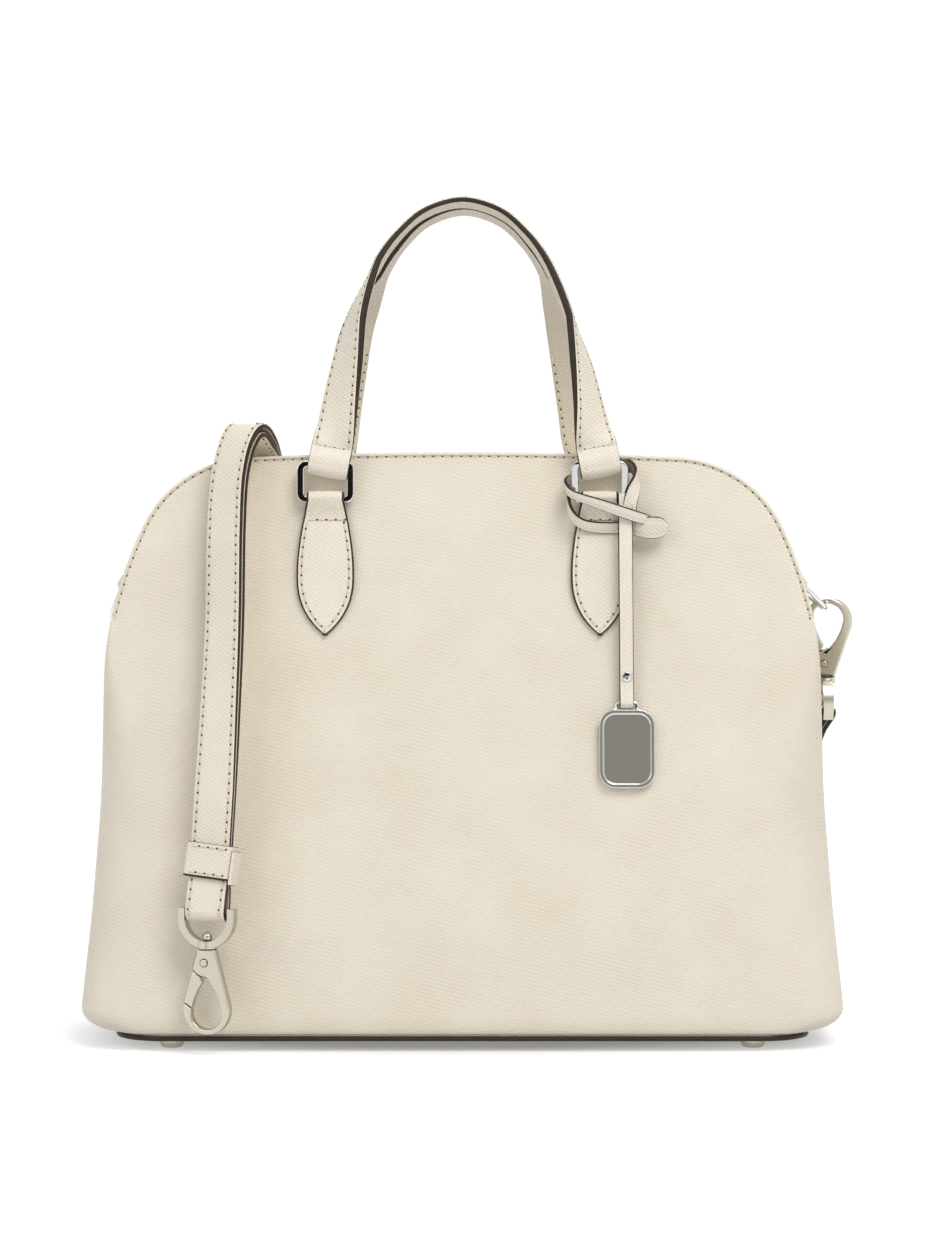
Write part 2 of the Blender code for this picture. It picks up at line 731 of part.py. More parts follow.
def make_slider():
    """Zip slider: a shield plate with side flanges and a crown for the puller."""
    frame = slider_frame()
    under = -CHAIN_INSET + GAP
    top = under + SLIDER_THICKNESS
    half_length = SLIDER_LENGTH / 2
    half_width = SLIDER_WIDTH / 2
    shield = [
        (-half_length, -half_width * 0.55), (-half_length * 0.5, -half_width), (half_length, -half_width * 0.85),
        (half_length, half_width * 0.85), (-half_length * 0.5, half_width), (-half_length, half_width * 0.55),
    ]
    level = frame @ Matrix.Translation((0.0, 0.0, (under + top) / 2))
    slider = plate("zip_slider", [shield], SLIDER_THICKNESS, SATIN, level)
    flange_foot = -TAPE_INSET + GAP
    inner = CHAIN_WIDTH / 2 + GAP
    for side in (-1.0, 1.0):
        edge = half_width * 0.85
        low = (-half_length * 0.5, min(side * inner, side * edge), flange_foot)
        high = (half_length * 0.9, max(side * inner, side * edge), top - GAP)
        boolean(slider, box("flange", low, high, SATIN, frame), "UNION")
    arch = []
    for n in range(13):
        angle = math.pi * n / 12
        z = top - CROWN_RADIUS + (CROWN_HEIGHT + CROWN_RADIUS) * math.sin(angle)
        arch.append(frame @ Vector((CROWN_REACH * math.cos(angle), 0.0, z)))
    boolean(slider, tube("crown", arch, CROWN_RADIUS, SATIN), "UNION")
    return frame, top


def make_puller(frame, slider_top):
    """Zip puller: a drop-shaped plate whose head bar lies under the crown."""
    axis_height = slider_top + GAP + PULLER_THICKNESS / 2
    head = PULLER_THICKNESS / 2
    half_width = PULLER_WIDTH / 2
    drop = [(-head, -half_width * 0.6), (CROWN_REACH * 2, -half_width * 0.6)]
    for n in range(9):
        angle = math.radians(-90.0 + 180.0 * n / 8)
        drop.append((PULLER_LENGTH - half_width + half_width * math.cos(angle), half_width * math.sin(angle)))
    drop += [(CROWN_REACH * 2, half_width * 0.6), (-head, half_width * 0.6)]
    window_end = CROWN_REACH + CROWN_RADIUS * 2 + GAP * 2
    window = [(head, -0.0012), (window_end, -0.0012), (window_end, 0.0012), (head, 0.0012)]
    level = frame @ Matrix.Translation((0.0, 0.0, axis_height))
    plate("zip_puller", [drop, window], PULLER_THICKNESS, SATIN, level)


# Base


def make_base():
    """Base panel with a painted edge, the stiffener board on it, and four stud feet."""
    half_x = wall_half_width(WALL_FOOT) + BASE_EDGE
    half_y = half_depth(WALL_FOOT) - BOTTOM_ROUND_FRONT + BASE_EDGE
    level = Matrix.Translation((0.0, 0.0, BASE_THICKNESS / 2))
    corner = corner_radius(WALL_FOOT)
    panel_outline = rounded_rectangle(half_x, half_y, corner + BASE_EDGE, CORNER_STEPS)
    base = plate("base_panel", [panel_outline], BASE_THICKNESS, LEATHER, level)
    shrink = BASE_EDGE + PANEL_THICKNESS + GAP
    board_radius = corner - PANEL_THICKNESS - GAP
    board_outline = rounded_rectangle(half_x - shrink, half_y - shrink, board_radius, CORNER_STEPS)
    level = Matrix.Translation((0.0, 0.0, WALL_FOOT + BOARD_THICKNESS / 2))
    board = plate("base_board", [board_outline], BOARD_THICKNESS, BOARD, level)
    top = WALL_FOOT + BOARD_THICKNESS
    for side_y, row in ((-1, "front"), (1, "back")):
        for side_x, hand in ((-1, "left"), (1, "right")):
            place = Matrix.Translation((side_x * FOOT_X, side_y * FOOT_Y, 0.0))
            for piece in (base, board):
                hole = [(0.0, top + GAP), (FOOT_PIN_RADIUS + GAP, top + GAP),
                        (FOOT_PIN_RADIUS + GAP, -GAP), (0.0, -GAP)]
                boolean(piece, turned("hole", hole, BOARD, place, 12, CUTTERS), "DIFFERENCE")
            stud = [
                (0.0, top), (FOOT_PIN_RADIUS, top), (FOOT_PIN_RADIUS, -GAP), (FOOT_RADIUS, -GAP),
                (FOOT_RADIUS, -FOOT_HEIGHT * 0.6), (FOOT_RADIUS * 0.85, -FOOT_HEIGHT), (0.0, -FOOT_HEIGHT),
            ]
            turned("foot_" + row + "_" + hand, stud, SATIN, place)


# Handle rings, tabs and handles

RING_BAR_REACH = RING_BAR_RADIUS * 1.42
RING_AXIS_Y = half_depth(RING_AXIS_Z) + GAP + TAB_THICKNESS + GAP + RING_BAR_REACH + GAP
RING_TOP_BAR_Z = RING_AXIS_Z + RING_HEIGHT - 2 * RING_BAR_RADIUS


def make_ring(name, x, side):
    """Rectangular ring with two round bars for the leather and flat side bars."""
    half_x = RING_WINDOW / 2 + RING_SIDE_BAR
    half_z = (RING_TOP_BAR_Z - RING_AXIS_Z) / 2 + RING_BAR_RADIUS
    middle = (RING_TOP_BAR_Z + RING_AXIS_Z) / 2
    outer = rounded_rectangle(half_x, half_z, 0.0045, 4)
    inner = rounded_rectangle(RING_WINDOW / 2, half_z - 2 * RING_BAR_RADIUS, 0.0014, 3)
    place = facing((x, side * RING_AXIS_Y, middle), (1, 0, 0), (0, 0, 1))
    plate(name, [outer, inner], RING_DEPTH, BRIGHT, place)


def tab_half_width(z):
    """Half width of the leaf-shaped tab at a height: narrow at the fold, wide low down, pointed."""
    top = RING_AXIS_Z
    widest = top + (TAB_TIP_Z - top) * 0.56
    if z > widest:
        t = (top - z) / (top - widest)
        return TAB_FOLD_HALF_WIDTH + (TAB_HALF_WIDTH - TAB_FOLD_HALF_WIDTH) * math.sin(t * math.pi / 2)
    t = (widest - z) / (widest - TAB_TIP_Z)
    return max(TAB_HALF_WIDTH * (1.0 - t ** 2.4) ** 0.9, 0.0006)


def make_tab(name, x, side):
    """Leather tab folded over the ring's lower bar and sewn flat on the panel."""
    wrap = RING_BAR_REACH + GAP + TAB_THICKNESS / 2
    layer = TAB_THICKNESS / 2 + GAP
    stations = []

    def add(y, z, looks, half_width):
        point = (x, side * y, z)
        stations.append((point, (0.0, side * looks[0], looks[1]), 2 * half_width, TAB_THICKNESS))
    lean = DEPTH_TAPER
    for z in (TAB_BACK_END_Z, TAB_BACK_END_Z + 0.006, RING_AXIS_Z - 0.006):
        add(half_depth(z) + layer, z, (-1.0, -lean), tab_half_width(z) - 0.0006)
    for degrees in range(-90, 91, 30):
        angle = math.radians(degrees)
        y = RING_AXIS_Y + wrap * math.sin(angle)
        z = RING_AXIS_Z + wrap * math.cos(angle)
        add(y, z, (math.sin(angle), math.cos(angle)), TAB_FOLD_HALF_WIDTH)
    double = 3 * TAB_THICKNESS / 2 + 2 * GAP
    for z in (RING_AXIS_Z - 0.008, TAB_BACK_END_Z + 0.004, TAB_BACK_END_Z - 0.001):
        add(half_depth(z) + double, z, (1.0, lean), tab_half_width(z))
    steps = 10
    top = TAB_BACK_END_Z - 0.008
    for n in range(steps + 1):
        z = top + (TAB_TIP_Z - top) * math.sin(n / steps * math.pi / 2)
        add(half_depth(z) + layer, z, (1.0, lean), tab_half_width(z))
    band(name, stations, LEATHER)


def handle_stations(side):
    """One unbroken strap: round the left ring's bar, over the arch, round the right ring's bar."""
    bar_y = RING_AXIS_Y
    inner_radius = RING_BAR_REACH + GAP * 1.5
    wrap = inner_radius + HANDLE_LOOP_THICKNESS / 2
    loop_z = RING_TOP_BAR_Z - HANDLE_LOOP_DROP
    half_pair = (HANDLE_LOOP_THICKNESS + GAP) / 2
    loop = []
    thin = HANDLE_LOOP_THICKNESS
    above = RING_TOP_BAR_Z + RING_BAR_REACH
    for y, z in ((-half_pair, HANDLE_LOOP_TOP_Z + 0.001), (-half_pair, HANDLE_LOOP_TOP_Z - 0.002),
                 (-wrap, above)):
        loop.append(((RING_X, side * (bar_y + y), z), (0.0, -side, 0.0), thin))
    for degrees in range(-90, 91, 30):
        angle = math.radians(degrees)
        point = (RING_X, side * (bar_y + wrap * math.sin(angle)), loop_z - wrap * math.cos(angle))
        loop.append((point, (0.0, side * math.sin(angle), -math.cos(angle)), thin))
    for y, z in ((wrap, above), (half_pair, HANDLE_LOOP_TOP_Z - 0.002)):
        loop.append(((RING_X, side * (bar_y + y), z), (0.0, side, 0.0), thin))
    swell = (HANDLE_THICKNESS - thin) / 2
    loop.append(((RING_X - 0.0006, side * (bar_y + half_pair), HANDLE_LOOP_TOP_Z), (0.0, side, 0.0), thin))
    knots = []
    turns = []
    apex_rise = HANDLE_APEX_Z - HANDLE_LINE[0][1]
    for x, z, turn in HANDLE_LINE:
        share = (z - HANDLE_LINE[0][1]) / apex_rise
        y = bar_y + half_pair - swell / 2 + (HANDLE_APEX_Y - bar_y) * share ** 1.3
        knots.append(Vector((x, side * y, z)))
        turns.append(math.radians(turn))
    knots.append(Vector((0.0, side * HANDLE_APEX_Y, HANDLE_APEX_Z)))
    turns.append(math.radians(90.0))
    right = []
    for i, (knot, turn) in enumerate(zip(knots, turns)):
        after = knots[i + 1] if i + 1 < len(knots) else Vector((-knots[i - 1].x, knots[i - 1].y, knots[i - 1].z))
        before = knots[i - 1] if i else Vector(loop[-1][0])
        along = (after - before).normalized()
        outward = Vector((along.z, 0.0, -along.x)).normalized()
        face = Vector((0.0, side, 0.0)) * math.cos(turn) + outward * math.sin(turn)
        right.append((knot, face))
    half = [(Vector(point), Vector(looks), thin) for point, looks, thin in loop]
    dense = []
    for i in range(len(right) - 1):
        p1, f1 = right[i]
        p2, f2 = right[i + 1]
        p0 = right[i - 1][0] if i else half[-1][0]
        p3 = right[i + 2][0] if i + 2 < len(right) else Vector((-p1.x, p1.y, p1.z))
        count = 3
        for n in range(count):
            t = n / count
            point = 0.5 * (2 * p1 + (p2 - p0) * t + (2 * p0 - 5 * p1 + 4 * p2 - p3) * t ** 2
                           + (3 * p1 - p0 - 3 * p2 + p3) * t ** 3)
            dense.append((point, f1.lerp(f2, t), HANDLE_THICKNESS))
    half += dense
    apex = [(right[-1][0], right[-1][1], HANDLE_THICKNESS)]
    flipped = [(Vector((-p.x, p.y, p.z)), Vector((-f.x, f.y, f.z)), t) for p, f, t in half]
    path = flipped + apex + list(reversed(half))
    return [(tuple(p), tuple(f), HANDLE_WIDTH, t) for p, f, t in path]


def make_handles():
    """Both handles with their rings and tabs."""
    for side, row in ((-1, "front"), (1, "back")):
        for hand, x in (("left", -RING_X), ("right", RING_X)):
            make_tab("handle_tab_" + row + "_" + hand, x, side)
            make_ring("handle_ring_" + row + "_" + hand, x, side)
        band("handle_" + row, handle_stations(side), LEATHER)


# Side rings

D_LENGTH = length_at(D_AXIS_Z)
D_STANDOFF = GAP + D_TAB_THICKNESS + GAP + D_WIRE_RADIUS


def d_axis(side):
    """Middle of a side ring's straight bar, with the directions down and away from the gusset."""
    x, z, lean = outline(D_LENGTH, GUSSET_INSET)
    away = Vector((side * math.sin(lean), 0.0, math.cos(lean)))
    down = Vector((side * math.cos(lean), 0.0, -math.sin(lean)))
    return Vector((side * x, 0.0, z)) + away * D_STANDOFF, down, away


def make_d_ring(hand, side, angle):
    """Leather loop on the gusset's end and the D-shaped ring that hangs in it."""
    axis, down, away = d_axis(side)
    wrap = D_WIRE_RADIUS + GAP + D_TAB_THICKNESS / 2
    first = GAP + D_TAB_THICKNESS / 2 - D_STANDOFF
    second = first + D_TAB_THICKNESS + GAP
    stations = []

    def add(along, off, looks):
        stations.append((axis + down * along + away * off, looks, D_TAB_WIDTH, D_TAB_THICKNESS))
    for along in (-D_TAB_LENGTH, -D_TAB_LENGTH / 2):
        add(along, first, -away)
    for degrees in range(-90, 91, 30):
        turn = math.radians(degrees)
        add(wrap * math.cos(turn), wrap * math.sin(turn), away * math.sin(turn) + down * math.cos(turn))
    add(-D_TAB_LENGTH * 0.35, (wrap + second) / 2, away)
    add(-D_TAB_LENGTH * 0.75, second, away)
    add(-D_TAB_LENGTH, second, away)
    band("d_ring_tab_" + hand, stations, LEATHER)
    fall = Vector((side * math.sin(angle), 0.0, -math.cos(angle)))
    points = []
    for n in range(5):
        turn = math.radians(90.0 * n / 4)
        points.append((D_HALF_WIDTH - D_CORNER + D_CORNER * math.sin(turn), D_CORNER - D_CORNER * math.cos(turn)))
    for n in range(1, 16):
        turn = math.pi * n / 16
        points.append((D_HALF_WIDTH * math.cos(turn), D_CORNER + (D_DEPTH - D_CORNER) * math.sin(turn)))
    for n in range(5):
        turn = math.radians(90.0 * n / 4)
        points.append((-D_HALF_WIDTH + D_CORNER - D_CORNER * math.cos(turn), D_CORNER - D_CORNER * math.sin(turn)))
    wire = [axis + Vector((0.0, y, 0.0)) + fall * depth for y, depth in points]
    tube("d_ring_" + hand, wire, D_WIRE_RADIUS, BRIGHT, cyclic=True)


# Snap hooks


def circle(centre, radius, start, end, steps):
    """Arc points in degrees, counted from the first axis towards the second."""
    points = []
    for n in range(steps + 1):
        angle = math.radians(start + (end - start) * n / steps)
        points.append((centre[0] + radius * math.cos(angle), centre[1] + radius * math.sin(angle)))
    return points


def hook_profiles():
    """Outer outline, eye, gate and slot of the snap hook in its own plane."""
    neck_z = -(HOOK_YOKE_DROP + HOOK_YOKE_HALF_WIDTH + HOOK_YOKE_THICKNESS / 2 + GAP)
    bow_z = -(HOOK_LENGTH - HOOK_BOW_RADIUS)
    outer = [(HOOK_NECK_HALF_WIDTH, neck_z)]
    rise = neck_z - bow_z
    lean = math.degrees(math.atan2(HOOK_BOW_RADIUS - HOOK_NECK_HALF_WIDTH, rise))
    outer += circle((0.0, bow_z), HOOK_BOW_RADIUS, lean, -180.0 - lean, 20)
    outer += [(-HOOK_NECK_HALF_WIDTH, neck_z)]
    eye_z = -(HOOK_LENGTH - HOOK_EYE_WALL - HOOK_EYE_RADIUS)
    reach = -HOOK_EYE_TOP - eye_z
    # Each side of the eye is an arc that runs smoothly into its round end and meets the other at the tip
    apart = HOOK_EYE_SIDE_RADIUS - HOOK_EYE_RADIUS
    rise = (HOOK_EYE_SIDE_RADIUS ** 2 - apart ** 2 - reach ** 2) / (2.0 * reach * apart)
    turn = math.asin(rise)
    centre = (-apart * math.cos(turn), eye_z - apart * math.sin(turn))
    tip = math.degrees(math.atan2(-HOOK_EYE_TOP - centre[1], -centre[0]))
    turn = math.degrees(turn)
    side = circle(centre, HOOK_EYE_SIDE_RADIUS, tip, turn, 5)[:-1]
    round_end = circle((0.0, eye_z), HOOK_EYE_RADIUS, turn, -180.0 - turn, 16)
    eye = side + round_end + [(-x, z) for x, z in reversed(side[1:])]
    return neck_z, outer, eye


def nose_height(x):
    """Height of the split between the gate and the nose, on a line that lets the gate swing in."""
    return GATE_END_Z - (x + HOOK_BOW_RADIUS) * GATE_END_SLOPE


def local_plate(name, outlines, thickness, place, collection=PARTS, shift=0.0):
    """A plate in the hook's plane, placed by the hook's frame."""
    upright = place @ facing((0.0, shift, 0.0), (1, 0, 0), (0, 0, 1))
    return plate(name, outlines, thickness, SATIN, upright, collection)


def make_hook(hand, place, swivel):
    """Snap hook: yoke on the strap's loop, swivelling body, sprung gate and its rivet."""
    neck_z, outer, eye = hook_profiles()
    own = place @ Matrix.Rotation(swivel, 4, "Z")
    # Yoke: a half round with the strap's bar across it and a boss for the stem
    half = HOOK_YOKE_HALF_WIDTH
    stations = []
    steps = 14
    arc = [(-half, HOOK_BAR_RADIUS + GAP)]
    arc += circle((0.0, -HOOK_YOKE_DROP), half, -180.0, 0.0, steps)
    arc += [(half, HOOK_BAR_RADIUS + GAP)]
    for x, z in arc:
        away = Vector((x, 0.0, min(z + HOOK_YOKE_DROP, 0.0)))
        point = place @ Vector((x, 0.0, z))
        stations.append((point, place.to_3x3() @ away, HOOK_YOKE_WIDTH, HOOK_YOKE_THICKNESS))
    yoke = band("hook_yoke_" + hand, stations, SATIN)
    bar = tube("bar", [place @ Vector((-half, 0, 0)), place @ Vector((half, 0, 0))],
               HOOK_BAR_RADIUS, SATIN, sides=3, collection=CUTTERS)
    boolean(yoke, bar, "UNION")
    boss_low = neck_z + GAP
    boss_high = boss_low + HOOK_BOSS_HEIGHT
    boss = [(0.0, boss_high), (HOOK_BOSS_RADIUS, boss_high), (HOOK_BOSS_RADIUS, boss_low), (0.0, boss_low)]
    boolean(yoke, turned("boss", boss, SATIN, place, 16, CUTTERS), "UNION")
    bore_radius = HOOK_STEM_RADIUS + GAP
    bore = [(0.0, boss_high + GAP), (bore_radius, boss_high + GAP), (bore_radius, boss_low - GAP),
            (0.0, boss_low - GAP)]
    boolean(yoke, turned("bore", bore, SATIN, place, 12, CUTTERS), "DIFFERENCE")
    # Body: drop-shaped frame, its stem through the boss and the round head above
    body = local_plate("hook_body_" + hand, [outer, eye], HOOK_THICKNESS, own)
    pivot = (HOOK_PIVOT_X, HOOK_PIVOT_Z)
    wide = HOOK_BOW_RADIUS * 2
    cheek = circle(pivot, HOOK_SPLIT_RADIUS, -180.0, -86.0, 8)
    inside = cheek[-1][0]
    notch = [(-wide, HOOK_PIVOT_Z)] + cheek + [(inside, nose_height(inside)), (-wide, nose_height(-wide))]
    boolean(body, local_plate("notch", [notch], HOOK_THICKNESS * 2, own, CUTTERS), "DIFFERENCE")
    reach = HOOK_SPLIT_RADIUS * 0.55
    slot_foot = HOOK_PIVOT_Z - HOOK_SPLIT_RADIUS - GAP
    slot = [(-wide, slot_foot), (HOOK_PIVOT_X + reach, slot_foot),
            (HOOK_PIVOT_X + reach, HOOK_PIVOT_Z + reach), (-wide, HOOK_PIVOT_Z + reach)]
    boolean(body, local_plate("slot", [slot], HOOK_SLOT, own, CUTTERS), "DIFFERENCE")
    rivet_at = own @ facing((HOOK_PIVOT_X, 0.0, HOOK_PIVOT_Z), (1, 0, 0), (0, 0, 1))
    hole_radius = HOOK_RIVET_RADIUS + GAP / 2
    deep = HOOK_THICKNESS
    hole = [(0.0, deep), (hole_radius, deep), (hole_radius, -deep), (0.0, -deep)]
    boolean(body, turned("hole", hole, SATIN, rivet_at, 12, CUTTERS), "DIFFERENCE")
    head_foot = boss_high + GAP
    stem = [
        (0.0, head_foot + HOOK_HEAD_RADIUS * 1.6), (HOOK_HEAD_RADIUS * 0.7, head_foot + HOOK_HEAD_RADIUS * 1.35),
        (HOOK_HEAD_RADIUS, head_foot + HOOK_HEAD_RADIUS * 0.8), (HOOK_HEAD_RADIUS, head_foot),
        (HOOK_STEM_RADIUS, head_foot), (HOOK_STEM_RADIUS, neck_z - 0.001), (0.0, neck_z - 0.001),
    ]
    boolean(body, turned("stem", stem, SATIN, own, 12, CUTTERS), "UNION")
    # Gate: the rest of the left limb, with a tongue on the rivet
    gate = local_plate("hook_gate_" + hand, [outer, eye], HOOK_THICKNESS - 2 * GAP, own)
    split = HOOK_SPLIT_RADIUS + GAP
    last = -92.0 - math.degrees(GATE_RANGE)
    end = 1.5 * GAP
    limb = circle(pivot, split, -200.0, last, 9)
    limb += [(-0.0014, -HOOK_EYE_TOP - 0.0030), (0.0, -HOOK_EYE_TOP - 0.0040)]
    limb += [(0.0, nose_height(0.0) + end), (-wide, nose_height(-wide) + end), (-wide, limb[0][1])]
    boolean(gate, local_plate("limb", [limb], HOOK_THICKNESS * 2, own, CUTTERS), "INTERSECT")
    heading = math.radians(-129.0)
    ahead = Vector((math.cos(heading), math.sin(heading)))
    beside = Vector((-ahead.y, ahead.x)) * HOOK_TONGUE_HALF_WIDTH
    tip = Vector(pivot) + ahead * (split + 0.0012)
    tongue = circle(pivot, HOOK_TONGUE_HALF_WIDTH * 1.4, -39.0, 141.0, 8)
    tongue += [tuple(tip - beside), tuple(tip + beside)]
    bearing = circle(pivot, hole_radius, 0.0, 330.0, 11)
    tongue_piece = local_plate("tongue", [tongue, bearing], HOOK_TONGUE_THICKNESS, own, CUTTERS)
    boolean(gate, tongue_piece, "UNION")
    # Rivet: a pin through both cheeks with a head on each side
    face = HOOK_THICKNESS / 2 + GAP
    top = face + HOOK_RIVET_HEAD_HEIGHT
    rivet = [
        (0.0, top), (HOOK_RIVET_HEAD_RADIUS * 0.8, top), (HOOK_RIVET_HEAD_RADIUS, face), (HOOK_RIVET_RADIUS - GAP / 2, face),
        (HOOK_RIVET_RADIUS - GAP / 2, -face), (HOOK_RIVET_HEAD_RADIUS, -face),
        (HOOK_RIVET_HEAD_RADIUS * 0.8, -top), (0.0, -top),
    ]
    turned("hook_rivet_" + hand, rivet, SATIN, rivet_at, 14)


def front_hook_frame():
    """Frame of the hook that hangs in front of the bag."""
    return Matrix.Translation(FRONT_HOOK_AT) @ Matrix.Rotation(FRONT_HOOK_YAW, 4, "Z")


def side_hook_frame():
    """Frame of the hook on the right side ring: upside down, leaning back to the strap."""
    over = Matrix.Rotation(math.pi + SIDE_HOOK_TILT, 4, "X")
    return Matrix.Translation(SIDE_HOOK_AT) @ over @ Matrix.Rotation(math.pi / 2, 4, "Z")


# Shoulder strap


def strap_lines():
    """Sampled middle line of the doubled stretch and of the single one, with face directions."""
    bar = Vector(FRONT_HOOK_AT)
    knots = [Vector(point) for point, _ in STRAP_DOUBLE + STRAP_SINGLE]
    looks = [Vector(face).normalized() for _, face in STRAP_DOUBLE + STRAP_SINGLE]
    points = []
    faces = []
    split = 0
    for i in range(len(knots) - 1):
        if i == len(STRAP_DOUBLE) - 1:
            split = len(points)
        p0 = knots[i - 1] if i else bar
        p1, p2 = knots[i], knots[i + 1]
        p3 = knots[i + 2] if i + 2 < len(knots) else Vector(SIDE_HOOK_AT)
        count = max(int((p2 - p1).length / STRAP_STEP + 0.5), 1)
        for n in range(count):
            t = n / count
            points.append(0.5 * (2 * p1 + (p2 - p0) * t + (2 * p0 - 5 * p1 + 4 * p2 - p3) * t ** 2
                                 + (3 * p1 - p0 - 3 * p2 + p3) * t ** 3))
            faces.append(looks[i].lerp(looks[i + 1], t).normalized())
    points.append(knots[-1])
    faces.append(looks[-1])
    return points, faces, split


def square_faces(points, faces):
    """Face directions made square to the line."""
    squared = []
    for i, face in enumerate(faces):
        along = (points[min(i + 1, len(points) - 1)] - points[max(i - 1, 0)]).normalized()
        squared.append((face - along * face.dot(along)).normalized())
    return squared


def loop_directions(end, hook_frame, looks):
    """Way from a hook's bar to the strap, and the face there, both square to the bar."""
    bar = hook_frame.translation
    bar_line = hook_frame.to_3x3() @ Vector((1.0, 0.0, 0.0))
    away = end - bar
    away = (away - bar_line * away.dot(bar_line)).normalized()
    face = away.cross(bar_line)
    return away, face if face.dot(looks) > 0.0 else -face


def make_strap():
    """Shoulder strap: one flat strap, doubled through the front hook's yoke back to the adjuster."""
    points, faces, split = strap_lines()
    faces = square_faces(points, faces)
    half_pair = (STRAP_THICKNESS + GAP) / 2
    bar = Vector(FRONT_HOOK_AT)
    spread = ADJUSTER_BAR_RADIUS + GAP + STRAP_THICKNESS / 2

    def pair_offset(i):
        near = max(1.0 - abs(i - split) / 3.0, 0.0)
        return half_pair + (spread - half_pair) * near
    stations = []
    hook_side = split - 1

    def add(point, looks):
        stations.append((tuple(point), tuple(looks), STRAP_WIDTH, STRAP_THICKNESS))
    for i in range(hook_side, -1, -1):
        add(points[i] - faces[i] * pair_offset(i), -faces[i])
    wrap = HOOK_BAR_RADIUS + GAP + STRAP_THICKNESS / 2
    up, front = loop_directions(points[0], front_hook_frame(), faces[0])
    for degrees in range(0, 181, 30):
        angle = math.radians(degrees)
        out = -front * math.cos(angle) - up * math.sin(angle)
        add(bar + out * wrap, out)
    for i in range(len(points)):
        add(points[i] + faces[i] * (pair_offset(i) if i < split + 3 else half_pair), faces[i])
    side_bar = Vector(SIDE_HOOK_AT)
    down, face = loop_directions(points[-1], side_hook_frame(), faces[-1])
    back = -down
    for degrees in range(0, 181, 30):
        angle = math.radians(degrees)
        out = face * math.cos(angle) + back * math.sin(angle)
        add(side_bar + out * wrap, out)
    for i in range(1, 4):
        t = i / 3
        middle = side_bar.lerp(points[-1], t * STRAP_END_LENGTH / (side_bar - points[-1]).length)
        add(middle - face * (wrap if i == 0 else half_pair), -face)
    band("shoulder_strap", stations, LEATHER)
    return points, faces, split


def make_keeper(points, faces):
    """Leather keeper round both layers of the strap's straight front run."""
    start = points[0]
    along = (Vector(STRAP_DOUBLE[2][0]) - start).normalized()
    middle = start + along * (KEEPER_START + KEEPER_LENGTH / 2)
    nearest = min(range(len(points)), key=lambda i: (points[i] - middle).length)
    face = faces[nearest]
    across = along.cross(face).normalized()
    half_x = STRAP_WIDTH / 2 + KEEPER_CLEARANCE
    half_y = STRAP_THICKNESS + GAP / 2 + KEEPER_CLEARANCE
    wall = KEEPER_THICKNESS
    outer = rounded_rectangle(half_x + wall, half_y + wall, wall + KEEPER_CLEARANCE, 3)
    inner = rounded_rectangle(half_x, half_y, KEEPER_CLEARANCE, 3)
    place = facing(middle, across, face)
    plate("strap_keeper", [outer, inner], KEEPER_LENGTH, LEATHER, place)


def make_adjuster(points, faces, split):
    """Three-bar slide of the adjuster: bowed side bars join two end bars over the strap to a middle one."""
    middle = points[split]
    along = (points[split + 1] - points[split - 1]).normalized()
    face = faces[split]
    across = along.cross(face).normalized()
    radius = ADJUSTER_BAR_RADIUS
    half = STRAP_WIDTH / 2 + GAP * 2 + radius
    high = 2 * (ADJUSTER_BAR_RADIUS + GAP) + STRAP_THICKNESS
    reach = ADJUSTER_LENGTH / 2
    frame = []
    for side in (-1.0, 1.0):
        for n in range(9):
            t = (n / 4.0 - 1.0) * side
            level = high * t * t
            frame.append(middle + across * (half * side) + along * (reach * t) + face * level)
    slide = tube("strap_adjuster", frame, radius, SATIN, cyclic=True)
    bar = tube("bar", [middle - across * half, middle + across * half], radius, SATIN, collection=CUTTERS)
    boolean(slide, bar, "UNION")


# Lanyard and tag


